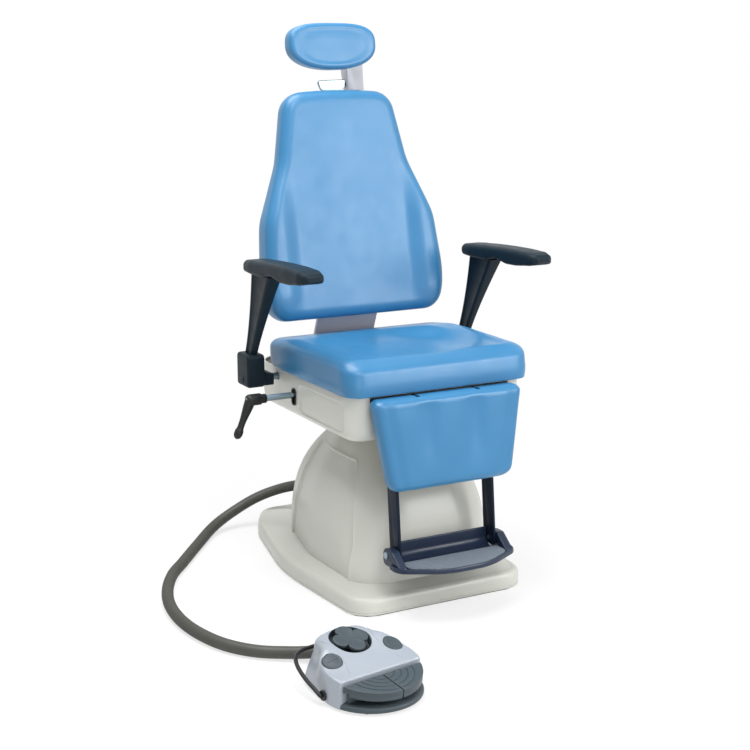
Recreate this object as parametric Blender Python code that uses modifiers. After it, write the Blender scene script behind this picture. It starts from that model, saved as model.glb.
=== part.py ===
"""Ear, nose and throat chair with a wired foot control.

Metres, +Z up. The floor is z = 0, the swivel axis is the Z axis and the chair faces -Y.
Every piece is one named object; cutters and joined-on shapes sit hidden in their own collection.
"""
import math

import bmesh
import bpy
from mathutils import Matrix, Vector

# General
GAP = 0.0003
ROUND_STEPS = 20

# Base
BASE_FRONT = 0.300
BASE_REAR = 0.456
BASE_FRONT_HALF_WIDTH = 0.232
BASE_HALF_WIDTH = 0.257
BASE_REAR_HALF_WIDTH = 0.138
BASE_CORNER = 0.060
SKIRT_CREASE = 0.044
SKIRT_TOP = 0.058
SKIRT_WALL = 0.004
PLATE_THICKNESS = 0.010

# Column and lift
COVER_TOP = 0.375
COVER_FRONT = 0.255
COVER_REAR = 0.252
COVER_HALF_WIDTH = 0.207
COVER_REAR_HALF_WIDTH = 0.150
COVER_WALL = 0.006
COVER_TAPER = 0.030
COVER_DOME = 0.556
COVER_CORNER = 0.085
COVER_CORNER_GROWTH = 0.060
NECK_CLEARANCE = 0.006
PANEL_DEPTH = 0.0025
PANEL_TOP = 0.302
GUIDE_RADIUS = 0.075
GUIDE_WALL = 0.0065
GUIDE_TOP = 0.330
LIFT_FOOT = 0.075
LIFT_TOP = 0.425
LIFT_WALL = 0.008
SPIGOT_RADIUS = 0.035
SPIGOT_HEIGHT = 0.058
SPIGOT_CLEARANCE = 0.0008

# Seat
SEAT_DECK = 0.518
SEAT_FRONT = 0.290
SEAT_REAR = 0.166
SEAT_HALF_WIDTH = 0.250
SEAT_THICKNESS = 0.076
SEAT_DISH = 0.018
SEAT_REAR_FALL = 0.012
SEAT_EDGE = 0.030
SHELL_FRONT = 0.271
SHELL_REAR = 0.260
SHELL_HALF_WIDTH = 0.235
SHELL_BOTTOM = 0.405
SHELL_WALL = 0.005
RAIL_INNER = 0.165
RAIL_WIDTH = 0.025
FRAME_PLATE = 0.008
SHELL_STAYS = (-0.130, 0.070)
PAN_THICKNESS = 0.010

# Back
HINGE_Y = 0.190
HINGE_Z = 0.456
HINGE_PIN_RADIUS = 0.008
BACK_LEAN = 11.5
BACK_FOOT_Y = 0.171
BACK_FOOT_Z = 0.6147
BACK_HEIGHT = 0.562
BACK_HALF_WIDTH = 0.248
BACK_TOP_HALF_WIDTH = 0.1465
BACK_THICKNESS = 0.056
BOLSTER = 0.015
BACK_PANEL = 0.010
BRACKET_HALF_WIDTH = 0.085
BRACKET_PLATE = 0.008
BRACKET_BULGE = 0.022

# Headrest
HEAD_X = 0.087
STEM_WIDTH = 0.030
STEM_THICKNESS = 0.008
STEM_SETBACK = 0.036
STEM_FOOT = BACK_HEIGHT - 0.217
STEM_TOP = BACK_HEIGHT + 0.027
HEAD_LEAN = 7.0
HEAD_RISE = 0.116761
HEAD_SETOUT = 0.000831
HEAD_HALF_WIDTH = 0.120
HEAD_DEPTH_DOWN = 0.060
HEAD_DEPTH_UP = 0.054
HEAD_THICKNESS = 0.047
HEAD_DRAW = 0.010
HEAD_TOP_SQUARE = 3.2
HEAD_FOOT_SQUARE = 2.3
HEAD_PIVOT_BACK = 0.030
CHANNEL_WIDTH = 0.046
CHANNEL_WALL = 0.003
HEAD_LEVER_LENGTH = 0.080

# Legrest and footrest
LEG_AXIS_Y = 0.3005
LEG_AXIS_Z = 0.4875
LEG_LEAN = 5.5
LEG_AXIS_BACK = 0.004
LEG_PAD_HALF = 0.0225
LEG_PAD_LENGTH = 0.190
LEG_TOP_HALF_WIDTH = 0.196
LEG_FOOT_HALF_WIDTH = 0.160
LEG_CHANNEL_X = 0.062
LEG_CHANNEL_DEPTH = 0.005
LEG_BOARD = 0.008
LEG_LUG_X = 0.080
LEG_LUG_RADIUS = 0.0085
LEG_PIN_RADIUS = 0.0035
BAR_HALF_SPAN = 0.132
BAR_THICKNESS = 0.008
BAR_DEPTH = 0.045
BAR_TOP = 0.100
BAR_END = 0.0155
TRAY_PIVOT = 0.3433
TRAY_DROP = 0.0165
TRAY_REACH = 0.121
TRAY_HALF_WIDTH = 0.161
TRAY_PLATE = 0.008
TRAY_WALL = 0.006
TRAY_WALL_RISE = 0.0235
CHEEK_THICKNESS = 0.021
MAT_THICKNESS = 0.004

# Armrests and swivel lock
ARM_X = SHELL_HALF_WIDTH + 0.068
ARM_Y = 0.120
ARM_Z = 0.493
ARM_SHAFT_RADIUS = 0.0085
ARM_POST_SWEEP = 0.098
ARM_PAD_FRONT = 0.238
ARM_PAD_REAR = 0.098
ARM_PAD_HALF_WIDTH = 0.033
ARM_PAD_UNDER = 0.762
ARM_PAD_THICKNESS = 0.037
LOCK_Y = 0.020
LOCK_Z = 0.466
LOCK_ROD_RADIUS = 0.0075
LOCK_REACH = 0.344
LEVER_DROP = 0.090
LEVER_OUT = 0.044
LEVER_RADIUS = 0.0140

# Foot control
PEDAL_X = -0.392
PEDAL_Y = -0.623
PEDAL_YAW = 9.0
PEDAL_RADIUS = 0.107
PEDAL_BASE_TOP = 0.022
PEDAL_BED = 0.006
PEDAL_REAR = 0.112
HOUSE_FRONT_TOP = 0.064
HOUSE_SLOPE = 0.285
HOUSE_CROWN = 0.140
HOUSE_LOBE = 0.010
HOUSE_REAR_FALL = 0.018
TREAD_THICKNESS = 0.013
TREAD_LIFT = 0.020
TREAD_TILT = 7.0
TREAD_REAR = 0.068
RIDGE_RADIUS = 0.004
DISH_RADIUS = 0.0455
DISH_DEPTH = 0.018
DISH_Y = 0.040
BUTTON_RADIUS = 0.0215
BUTTON_X = 0.077
BUTTON_Y = -0.004
GLAND_Z = 0.0215
BAIL_RADIUS = 0.0045

# Hose
HOSE_RADIUS = 0.013
HOSE_RIB = 0.0012
HOSE_BORE = 0.0085
HOSE_RIBS = 50
HOSE_EXIT_X = -0.030
HOSE_EXIT_Z = 0.130

# Finishes: colour, metallic, roughness
VINYL = ((0.16, 0.40, 0.72), 0.0, 0.35)
CREAM = ((0.62, 0.63, 0.58), 0.0, 0.35)
SLATE = ((0.05, 0.07, 0.09), 0.0, 0.5)
STEEL = ((0.45, 0.47, 0.50), 1.0, 0.35)
CHROME = ((0.80, 0.81, 0.83), 1.0, 0.12)
DARK = ((0.08, 0.08, 0.09), 0.0, 0.6)
GREY = ((0.42, 0.42, 0.46), 0.0, 0.45)
NAVY = ((0.06, 0.08, 0.16), 0.2, 0.45)
RUBBER = ((0.22, 0.25, 0.28), 0.0, 0.8)
SILVER = ((0.56, 0.61, 0.70), 0.1, 0.4)
CONTROL = ((0.10, 0.13, 0.16), 0.0, 0.55)
CONDUIT = ((0.11, 0.11, 0.09), 0.0, 0.6)


def clear_scene():
    for obj in list(bpy.data.objects):
        bpy.data.objects.remove(obj, do_unlink=True)


def collection(name):
    found = bpy.data.collections.get(name)
    if found is None:
        found = bpy.data.collections.new(name)
        bpy.context.scene.collection.children.link(found)
    return found


clear_scene()
PARTS = collection("ent_chair")
CUTTERS = collection("cutters")


def finish(obj, look):
    colour, metallic, roughness = look
    mat = bpy.data.materials.new(obj.name)
    mat.use_nodes = True
    shader = mat.node_tree.nodes["Principled BSDF"]
    shader.inputs["Base Color"].default_value = (*colour, 1.0)
    shader.inputs["Metallic"].default_value = metallic
    shader.inputs["Roughness"].default_value = roughness
    obj.data.materials.clear()
    obj.data.materials.append(mat)
    return obj


def from_bmesh(name, bm, look=None):
    """Turn a bmesh into an object: a piece if it has a finish, otherwise a hidden helper."""
    bmesh.ops.recalc_face_normals(bm, faces=bm.faces)
    mesh = bpy.data.meshes.new(name)
    bm.to_mesh(mesh)
    bm.free()
    obj = bpy.data.objects.new(name, mesh)
    return place(obj, look)


def place(obj, look):
    if look is None:
        CUTTERS.objects.link(obj)
        obj.hide_render = True
        obj.display_type = "WIRE"
    else:
        PARTS.objects.link(obj)
        finish(obj, look)
    return obj


def boolean(obj, other, operation):
    mod = obj.modifiers.new(operation.lower(), "BOOLEAN")
    mod.operation = operation
    mod.solver = "EXACT"
    mod.object = other
    return obj


def cut(obj, *others):
    for other in others:
        boolean(obj, other, "DIFFERENCE")
    return obj


def join(obj, *others):
    for other in others:
        boolean(obj, other, "UNION")
    return obj


def bevel(obj, width, segments=2, angle=35.0):
    mod = obj.modifiers.new("edges", "BEVEL")
    mod.width = width
    mod.segments = segments
    mod.limit_method = "ANGLE"
    mod.angle_limit = math.radians(angle)
    return obj


def box(name, low, high, look=None):
    bm = bmesh.new()
    size = [high[i] - low[i] for i in range(3)]
    middle = [(high[i] + low[i]) / 2 for i in range(3)]
    bmesh.ops.create_cube(bm, size=1.0)
    bmesh.ops.scale(bm, vec=size, verts=bm.verts)
    bmesh.ops.translate(bm, vec=middle, verts=bm.verts)
    return from_bmesh(name, bm, look)


def rod(name, start, end, radius, look=None, end_radius=None, segments=ROUND_STEPS):
    start = Vector(start)
    end = Vector(end)
    direction = end - start
    turn = Vector((0, 0, 1)).rotation_difference(direction).to_matrix().to_4x4()
    bm = bmesh.new()
    bmesh.ops.create_cone(
        bm, cap_ends=True, segments=segments, depth=direction.length, radius1=radius,
        radius2=radius if end_radius is None else end_radius,
        matrix=Matrix.Translation((start + end) / 2) @ turn)
    return from_bmesh(name, bm, look)


def turned(name, profile, look=None, steps=ROUND_STEPS, closed=True):
    """Turn a profile of (radius, height) about Z with a Screw modifier."""
    mesh = bpy.data.meshes.new(name)
    verts = [(radius, 0.0, height) for radius, height in profile]
    edges = [(i, i + 1) for i in range(len(verts) - 1)]
    if closed:
        edges.append((len(verts) - 1, 0))
    mesh.from_pydata(verts, edges, [])
    obj = bpy.data.objects.new(name, mesh)
    mod = obj.modifiers.new("turn", "SCREW")
    mod.angle = math.tau
    mod.steps = steps
    mod.render_steps = steps
    mod.use_merge_vertices = True
    mod.merge_threshold = 0.00005
    return place(obj, look)


def prism(name, outline, axis, low, high, look=None):
    """Extrude a flat outline along X, Y or Z."""
    def point(pair, depth):
        a, b = pair
        return {"X": (depth, a, b), "Y": (a, depth, b), "Z": (a, b, depth)}[axis]

    bm = bmesh.new()
    face = bm.faces.new([bm.verts.new(point(pair, low)) for pair in outline])
    grown = bmesh.ops.extrude_face_region(bm, geom=[face])
    moved = [item for item in grown["geom"] if isinstance(item, bmesh.types.BMVert)]
    step = Vector(point((0, 0), high)) - Vector(point((0, 0), low))
    bmesh.ops.translate(bm, vec=step, verts=moved)
    return from_bmesh(name, bm, look)


def rounded(corners, steps=4, halved=False):
    """Round each corner (x, y, radius) of a closed polygon; halved adds a point on every straight."""
    points = []
    count = len(corners)
    for i in range(count):
        here = Vector(corners[i][:2])
        back = (Vector(corners[i - 1][:2]) - here).normalized()
        ahead = (Vector(corners[(i + 1) % count][:2]) - here).normalized()
        radius = corners[i][2]
        half = back.angle(ahead) / 2
        centre = here + (back + ahead).normalized() * (radius / math.sin(half))
        first = here + back * (radius / math.tan(half)) - centre
        sweep = math.pi - 2 * half
        if back.x * ahead.y - back.y * ahead.x > 0:
            sweep = -sweep
        for k in range(steps + 1):
            angle = sweep * k / steps
            turn = Matrix.Rotation(angle, 2)
            spot = centre + turn @ first
            points.append((spot.x, spot.y))
    if halved:
        split = []
        for i, here in enumerate(points):
            split.append(here)
            if i % (steps + 1) == steps:
                after = points[(i + 1) % len(points)]
                split.append(((here[0] + after[0]) / 2, (here[1] + after[1]) / 2))
        points = split
    return points


def mirrored(corners):
    """Corners of the right half, front to rear, completed with the left half."""
    return corners + [(-x, y, radius) for x, y, radius in reversed(corners)]


def inset(outline, distance):
    """Move every point of a counter-clockwise outline inward."""
    count = len(outline)
    moved = []
    for i in range(count):
        before = Vector(outline[i - 1])
        after = Vector(outline[(i + 1) % count])
        along = (after - before).normalized()
        here = Vector(outline[i])
        spot = here + Vector((-along.y, along.x)) * distance
        moved.append((spot.x, spot.y))
    return moved


def circle_like(outline, radius):
    """A circle with one point at the bearing of each outline point."""
    points = []
    for x, y in outline:
        length = math.hypot(x, y)
        points.append((x / length * radius, y / length * radius))
    return points


def at_bearings(outline, like):
    """Points of an outline round the origin, one at the bearing of each point of another outline."""
    points = []
    for x, y in like:
        reach = 0.0
        for i, first in enumerate(outline):
            second = outline[(i + 1) % len(outline)]
            run = second[0] - first[0]
            rise = second[1] - first[1]
            turn = x * rise - y * run
            if abs(turn) < 1e-12:
                continue
            part = (first[0] * y - first[1] * x) / turn
            along = (first[0] * rise - first[1] * run) / turn
            if along > 0 and -1e-9 <= part <= 1 + 1e-9:
                reach = max(reach, along)
        points.append((x * reach, y * reach))
    return points


def level(outline, z):
    return [(x, y, z) for x, y in outline]


def loft(name, rings, look=None, ring_closed=False):
    """Skin a row of equal rings; cap both ends, or close the row on itself."""
    bm = bmesh.new()
    rows = [[bm.verts.new(spot) for spot in ring] for ring in rings]
    pairs = list(zip(rows[:-1], rows[1:]))
    if ring_closed:
        pairs.append((rows[-1], rows[0]))
    for first, second in pairs:
        count = len(first)
        for i in range(count):
            j = (i + 1) % count
            bm.faces.new((first[i], first[j], second[j], second[i]))
    if not ring_closed:
        bm.faces.new(rows[0])
        bm.faces.new(rows[-1])
    return from_bmesh(name, bm, look)


def pad(name, outline, frame, thickness, edge, shape, look, draw=0.005):
    """Upholstered pad: flat back, drawn-in sides, rounded edge and a shaped face."""
    origin, across, up, out = [Vector(v) for v in frame]
    draw = min(draw, edge * 0.5)

    def spot(pair, height):
        return origin + across * pair[0] + up * pair[1] + out * height

    rings = []
    for distance, share in ((draw, 0.0), (draw * 0.3, 0.12), (0.0, 0.38)):
        rings.append([spot(pair, thickness * share) for pair in inset(outline, distance)])
    for degrees in (15, 45, 72, 90):
        angle = math.radians(degrees)
        distance = edge * (1 - math.cos(angle))
        drop = edge * 0.75 * (1 - math.sin(angle))
        ring = inset(outline, distance)
        rings.append([spot(pair, thickness + shape(*pair) - drop) for pair in ring])
    rim = inset(outline, edge)
    middle = (sum(p[0] for p in rim) / len(rim), sum(p[1] for p in rim) / len(rim))
    for share in (0.86, 0.70, 0.52, 0.33, 0.14):
        ring = [(middle[0] + (p[0] - middle[0]) * share, middle[1] + (p[1] - middle[1]) * share) for p in rim]
        rings.append([spot(pair, thickness + shape(*pair)) for pair in ring])
    return loft(name, rings, look)


def tube(name, points, radii, look=None, resolution=2):
    """Sweep a round section with its own radius at each point, as a mesh."""
    curve = bpy.data.curves.new(name + "_line", "CURVE")
    curve.dimensions = "3D"
    curve.bevel_depth = 1.0
    curve.bevel_resolution = resolution
    curve.use_fill_caps = True
    line = curve.splines.new("POLY")
    line.points.add(len(points) - 1)
    for point, spot, radius in zip(line.points, points, radii):
        point.co = (*spot, 1.0)
        point.radius = radius
    sweep = place(bpy.data.objects.new(name + "_line", curve), None)
    bpy.context.view_layer.update()
    mesh = bpy.data.meshes.new_from_object(sweep.evaluated_get(bpy.context.evaluated_depsgraph_get()))
    bm = bmesh.new()
    bm.from_mesh(mesh)
    bmesh.ops.remove_doubles(bm, verts=bm.verts, dist=0.00001)
    return from_bmesh(name, bm, look)


def smooth(value, low, high):
    share = min(1.0, max(0.0, (value - low) / (high - low)))
    return share * share * (3 - 2 * share)


def pivot(name, location, *pieces):
    """Empty on a joint axis that carries the pieces that move about it."""
    empty = bpy.data.objects.new(name, None)
    empty.location = location
    empty.empty_display_size = 0.03
    PARTS.objects.link(empty)
    for piece in pieces:
        piece.parent = empty
        piece.matrix_parent_inverse = Matrix.Translation(location).inverted()
    return empty


# Base and column cover
COVER_FOOT = SKIRT_TOP + GAP
lift_radius = GUIDE_RADIUS - GUIDE_WALL - 0.0004


def base_outline(distance=0.0):
    waist = BASE_HALF_WIDTH * 0.45 + BASE_REAR_HALF_WIDTH * 0.55
    corners = mirrored([
        (BASE_FRONT_HALF_WIDTH - distance, -BASE_FRONT + distance, BASE_CORNER - distance),
        (BASE_HALF_WIDTH - distance, 0.06, 0.60),
        (waist - distance, BASE_REAR - 0.095, 0.30),
        (BASE_REAR_HALF_WIDTH - distance, BASE_REAR - distance, BASE_CORNER - distance),
    ])
    return rounded(corners, 3)


def cover_outline(z, distance=0.0):
    t = (z - COVER_FOOT) / (COVER_TOP - COVER_FOOT)
    size = 1.0 - COVER_TAPER * t - COVER_DOME * t ** 3
    front_corner = (COVER_CORNER + COVER_CORNER_GROWTH * smooth(t, 0.0, 0.3)) * size
    corners = mirrored([
        ((COVER_HALF_WIDTH - 0.006) * size - distance, -COVER_FRONT * size + distance, front_corner),
        (COVER_HALF_WIDTH * size - distance, 0.02, 0.22),
        (COVER_REAR_HALF_WIDTH * size - distance, COVER_REAR * size - distance, 0.065 * size),
    ])
    return rounded(corners, 4, halved=True)


floor_plate = prism("floor_plate", base_outline(SKIRT_WALL + GAP), "Z", 0.0, PLATE_THICKNESS, DARK)

# The skirt rises to a crease, then slopes up to the foot of the cover
skirt_rings = []
for distance, z in ((0.0, 0.003), (0.0, SKIRT_CREASE * 0.6), (0.003, SKIRT_CREASE * 0.84),
                    (0.009, SKIRT_CREASE * 0.96), (0.016, SKIRT_CREASE)):
    skirt_rings.append(level(base_outline(distance), z))
opening = circle_like(base_outline(), COVER_REAR_HALF_WIDTH - 0.004)
skirt_rings.append(level(at_bearings(cover_outline(COVER_FOOT, -0.004), base_outline()), SKIRT_TOP))
skirt_rings.append(level(opening, SKIRT_TOP))
skirt_rings.append(level(opening, SKIRT_TOP - SKIRT_WALL))
skirt_rings.append(level(at_bearings(cover_outline(COVER_FOOT, -0.003), base_outline()), SKIRT_TOP - SKIRT_WALL))
for distance, z in ((0.016, SKIRT_CREASE), (0.006, SKIRT_CREASE * 0.84)):
    skirt_rings.append(level(base_outline(distance + SKIRT_WALL), z - SKIRT_WALL))
for z in (SKIRT_CREASE * 0.45, 0.003):
    skirt_rings.append(level(base_outline(SKIRT_WALL), z))
base_skirt = loft("base_skirt", skirt_rings, CREAM, ring_closed=True)


def cover_rings(shift, shares, crown):
    rings = []
    for share in shares:
        z = COVER_FOOT + (COVER_TOP - COVER_FOOT) * share
        rings.append(level(cover_outline(z, shift), z))
    for distance, drop in crown:
        z = COVER_TOP - drop
        rings.append(level(cover_outline(z, shift + distance), z - shift))
    return rings


neck = circle_like(cover_outline(COVER_TOP), lift_radius + NECK_CLEARANCE)
column_cover = loft(
    "column_cover",
    cover_rings(0.0, (0.0, 0.14, 0.32, 0.50, 0.65, 0.78, 0.88), ((0.003, 0.014), (0.005, 0.005), (0.008, 0.0)))
    + [level(neck, COVER_TOP), level(neck, COVER_TOP - COVER_WALL)]
    + cover_rings(COVER_WALL, (0.0, 0.45, 0.75, 0.90), ((0.004, 0.010),))[::-1], CREAM, ring_closed=True)
core_rings = [level(cover_outline(z, PANEL_DEPTH), z) for z in (0.0, 0.08, 0.13, 0.18, 0.22, 0.26, 0.30, 0.34)]
panel_core = loft("panel_core", core_rings)
panel_shape = rounded([
    (-COVER_FRONT * 0.74, COVER_FOOT + 0.020, 0.012), (COVER_REAR * 0.74, COVER_FOOT + 0.020, 0.012),
    (COVER_REAR * 0.50, PANEL_TOP, 0.016), (-COVER_FRONT * 0.52, PANEL_TOP, 0.016)], 3)
panel_cutter = prism("panel_cutter", panel_shape, "X", -0.4, 0.4)
cut(panel_cutter, panel_core)
cut(column_cover, panel_cutter)
cover_rear_y = max(y for x, y in cover_outline(HOSE_EXIT_Z))
cut(column_cover, rod("gland_hole", (HOSE_EXIT_X, 0.15, HOSE_EXIT_Z), (HOSE_EXIT_X, 0.4, HOSE_EXIT_Z), 0.0155))

# Lift
guide_bore = GUIDE_RADIUS - GUIDE_WALL
guide_column = turned("guide_column", [
    (GUIDE_RADIUS, GUIDE_TOP), (GUIDE_RADIUS, PLATE_THICKNESS + GAP + 0.008),
    (GUIDE_RADIUS + 0.022, PLATE_THICKNESS + GAP + 0.008), (GUIDE_RADIUS + 0.022, PLATE_THICKNESS + GAP),
    (guide_bore, PLATE_THICKNESS + GAP), (guide_bore, GUIDE_TOP)], STEEL)
lift_actuator = turned("lift_actuator", [
    (0.018, GUIDE_TOP - 0.03), (0.018, 0.135), (0.032, 0.130), (0.032, PLATE_THICKNESS + GAP),
    (0.0, PLATE_THICKNESS + GAP), (0.0, 0.140), (0.0115, 0.140), (0.0115, GUIDE_TOP - 0.03)], DARK, closed=True)
lift_bore = lift_radius - LIFT_WALL
lift_column = turned("lift_column", [
    (0.0, LIFT_TOP + SPIGOT_HEIGHT), (SPIGOT_RADIUS, LIFT_TOP + SPIGOT_HEIGHT), (SPIGOT_RADIUS, LIFT_TOP),
    (lift_radius, LIFT_TOP), (lift_radius, LIFT_FOOT), (lift_bore, LIFT_FOOT),
    (lift_bore, LIFT_TOP - 0.010), (0.0, LIFT_TOP - 0.010)], STEEL, closed=False)
lift_rod = turned("lift_rod", [
    (0.0, LIFT_TOP - 0.010 - GAP), (0.0105, LIFT_TOP - 0.010 - GAP), (0.0105, 0.150), (0.0, 0.150)], CHROME,
    steps=20, closed=False)

# Seat frame
frame_low = LIFT_TOP + GAP + 0.012 + GAP
rail_top = SEAT_DECK - GAP - PAN_THICKNESS - GAP
rail_outer = RAIL_INNER + RAIL_WIDTH
swivel_plate = turned("swivel_plate", [
    (0.100, LIFT_TOP + GAP + 0.012), (0.100, LIFT_TOP + GAP), (SPIGOT_RADIUS + SPIGOT_CLEARANCE, LIFT_TOP + GAP),
    (SPIGOT_RADIUS + SPIGOT_CLEARANCE, LIFT_TOP + GAP + 0.012)], STEEL)
seat_frame = box("seat_frame", (-rail_outer, -0.15, frame_low), (rail_outer, 0.14, frame_low + FRAME_PLATE), DARK)
cut(seat_frame, rod("spigot_hole", (0, 0, 0.40), (0, 0, 0.50), SPIGOT_RADIUS + 0.006))
rail_front = -SHELL_FRONT + SHELL_WALL + 0.012
rail_rear = HINGE_Y + 0.013
for side in (-1, 1):
    low, high = sorted((side * RAIL_INNER, side * rail_outer))
    join(seat_frame, box("rail", (low, rail_front, frame_low), (high, rail_rear, rail_top)))
    low, high = sorted((side * (rail_outer - 0.001), side * (SHELL_HALF_WIDTH - SHELL_WALL - GAP)))
    for y in SHELL_STAYS:
        join(seat_frame, box("shell_stay", (low, y - 0.012, 0.472), (high, y + 0.012, 0.479)))
join(seat_frame, box(
    "front_member", (-rail_outer + 0.001, rail_front + 0.001, LEG_AXIS_Z - 0.012),
    (rail_outer - 0.001, rail_front + 0.022, LEG_AXIS_Z + 0.010)))
cut(seat_frame, rod("hinge_hole", (-0.3, HINGE_Y, HINGE_Z), (0.3, HINGE_Y, HINGE_Z), HINGE_PIN_RADIUS + GAP))
cut(seat_frame, rod("arm_hole", (-0.3, ARM_Y, ARM_Z), (0.3, ARM_Y, ARM_Z), ARM_SHAFT_RADIUS + GAP))
cut(seat_frame, rod("lock_hole", (-0.3, LOCK_Y, LOCK_Z), (-0.1, LOCK_Y, LOCK_Z), LOCK_ROD_RADIUS + GAP))


def lug(name, low, high, axis_point, radius, root, root_half, look=None):
    """Flat eye round an X axis, running back to a square root."""
    centre = Vector(axis_point)
    tail = Vector(root)
    along = (tail - centre).normalized()
    across = Vector((-along.y, along.x))
    points = []
    for k in range(9):
        angle = math.pi * k / 8
        spot = centre + across * (radius * math.cos(angle)) - along * (radius * math.sin(angle))
        points.append((spot.x, spot.y))
    for sign in (-1, 1):
        spot = tail + across * (root_half * sign)
        points.append((spot.x, spot.y))
    return prism(name, points, "X", low, high, look)


leg_axis = (-LEG_AXIS_Y, LEG_AXIS_Z)
for side in (-1, 1):
    low, high = sorted((side * (LEG_LUG_X - 0.004), side * (LEG_LUG_X + 0.004)))
    join(seat_frame, lug("seat_lug", low, high, leg_axis, LEG_LUG_RADIUS, (rail_front + 0.01, LEG_AXIS_Z), LEG_LUG_RADIUS))
    cut(seat_frame, rod(
        "lug_hole", (low - 0.01, *leg_axis), (high + 0.01, *leg_axis), LEG_PIN_RADIUS + GAP, segments=16))

seat_pan = prism("seat_pan", rounded(mirrored([
    (SHELL_HALF_WIDTH - SHELL_WALL - 0.008, -SHELL_FRONT + SHELL_WALL + 0.006, 0.03),
    (SHELL_HALF_WIDTH - SHELL_WALL - 0.008, SEAT_REAR - 0.008, 0.03)]), 3),
    "Z", rail_top + GAP, SEAT_DECK - GAP, GREY)


# Seat shell
def shell_outline(distance=0.0):
    return rounded(mirrored([
        (SHELL_HALF_WIDTH - distance, -SHELL_FRONT + distance, max(0.012, 0.050 - distance)),
        (SHELL_HALF_WIDTH - distance, SHELL_REAR - distance, max(0.012, 0.075 - distance)),
    ]), 4, halved=True)


SHELL_TOP = SEAT_DECK - 0.003
shell_hole = circle_like(shell_outline(), lift_radius + 0.020)
shell_profile = ((0.040, 0.0), (0.022, 0.003), (0.009, 0.011), (0.0025, 0.026), (0.0, 0.046))
shell_rings = [level(shell_hole, SHELL_BOTTOM)]
for distance, rise in shell_profile:
    shell_rings.append(level(shell_outline(distance), SHELL_BOTTOM + rise))
shell_rings.append(level(shell_outline(), SHELL_TOP))
shell_rings.append(level(shell_outline(SHELL_WALL), SHELL_TOP))
for distance, rise in shell_profile[::-2]:
    lift = SHELL_WALL * (1 - smooth(rise, 0.0, 0.046))
    shell_rings.append(level(shell_outline(distance + SHELL_WALL), SHELL_BOTTOM + rise + lift))
shell_rings.append(level(shell_hole, SHELL_BOTTOM + SHELL_WALL))
seat_shell = loft("seat_shell", shell_rings, CREAM, ring_closed=True)
for side in (-1, 1):
    low, high = sorted((side * (SHELL_HALF_WIDTH - PANEL_DEPTH), side * (SHELL_HALF_WIDTH + 0.05)))
    shell_panel = prism("shell_panel", rounded([
        (-SHELL_FRONT + 0.057, SHELL_BOTTOM + 0.030, 0.022), (0.005, SHELL_BOTTOM + 0.030, 0.006),
        (0.005, SHELL_TOP - 0.014, 0.006), (-SHELL_FRONT + 0.057, SHELL_TOP - 0.014, 0.014)], 3), "X", low, high)
    cut(seat_shell, shell_panel)
    low, high = sorted((side * (SHELL_HALF_WIDTH - 0.03), side * (SHELL_HALF_WIDTH + 0.05)))
    cut(seat_shell, rod("shaft_hole", (low, ARM_Y, ARM_Z), (high, ARM_Y, ARM_Z), ARM_SHAFT_RADIUS + 0.002))
    low, high = sorted((side * (LEG_LUG_X - 0.0065), side * (LEG_LUG_X + 0.0065)))
    cut(seat_shell, box(
        "lug_slot", (low, -SHELL_FRONT - 0.05, LEG_AXIS_Z - 0.014), (high, -SHELL_FRONT + 0.03, LEG_AXIS_Z + 0.014)))
lock_slot = prism("lock_slot", rounded([
    (LOCK_Y - 0.0095, LOCK_Z - 0.024, 0.009), (LOCK_Y + 0.0095, LOCK_Z - 0.024, 0.009),
    (LOCK_Y + 0.0095, LOCK_Z + 0.014, 0.009), (LOCK_Y - 0.0095, LOCK_Z + 0.014, 0.009)], 3),
    "X", -SHELL_HALF_WIDTH - 0.05, -SHELL_HALF_WIDTH + 0.03)
cut(seat_shell, lock_slot)
notch_half = BRACKET_HALF_WIDTH + 0.007
cut(seat_shell, box(
    "bracket_notch", (-notch_half, SHELL_REAR - 0.05, HINGE_Z - 0.016), (notch_half, SHELL_REAR + 0.05, SHELL_TOP + 0.02)))


# Seat cushion
def seat_shape(x, y):
    front = smooth(-y, SEAT_FRONT * 0.35, SEAT_FRONT)
    dish = SEAT_DISH * math.exp(-(x / 0.14) ** 2 - ((y + 0.03) / 0.14) ** 2)
    rear = SEAT_REAR_FALL * smooth(y, SEAT_REAR * 0.2, SEAT_REAR)
    return -rear - dish - 0.014 * front


seat_outline = rounded(mirrored([
    (SEAT_HALF_WIDTH - 0.006, -SEAT_FRONT, 0.042), (SEAT_HALF_WIDTH, -0.02, 0.4),
    (SEAT_HALF_WIDTH - 0.006, SEAT_REAR, 0.042)]), 5)
seat_cushion = pad(
    "seat_cushion", seat_outline, ((0, 0, SEAT_DECK), (1, 0, 0), (0, 1, 0), (0, 0, 1)),
    SEAT_THICKNESS, SEAT_EDGE, seat_shape, VINYL)

# Back hinge and drive
back_hinge_pin = rod(
    "back_hinge_pin", (-rail_outer - 0.001, HINGE_Y, HINGE_Z), (rail_outer + 0.001, HINGE_Y, HINGE_Z),
    HINGE_PIN_RADIUS, CHROME)
back_drive = rod(
    "back_drive", (BRACKET_HALF_WIDTH + 0.0015, HINGE_Y, HINGE_Z), (RAIL_INNER - GAP, HINGE_Y, HINGE_Z), 0.026, DARK)
cut(back_drive, rod("drive_bore", (0.0, HINGE_Y, HINGE_Z), (0.3, HINGE_Y, HINGE_Z), HINGE_PIN_RADIUS + GAP))

# Back
lean = math.radians(BACK_LEAN)
BACK_UP = Vector((0, math.sin(lean), math.cos(lean)))
BACK_OUT = Vector((0, -math.cos(lean), math.sin(lean)))
BACK_ORIGIN = Vector((0, BACK_FOOT_Y, BACK_FOOT_Z))
BACK_FRAME = (BACK_ORIGIN, (1, 0, 0), BACK_UP, BACK_OUT)


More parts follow.
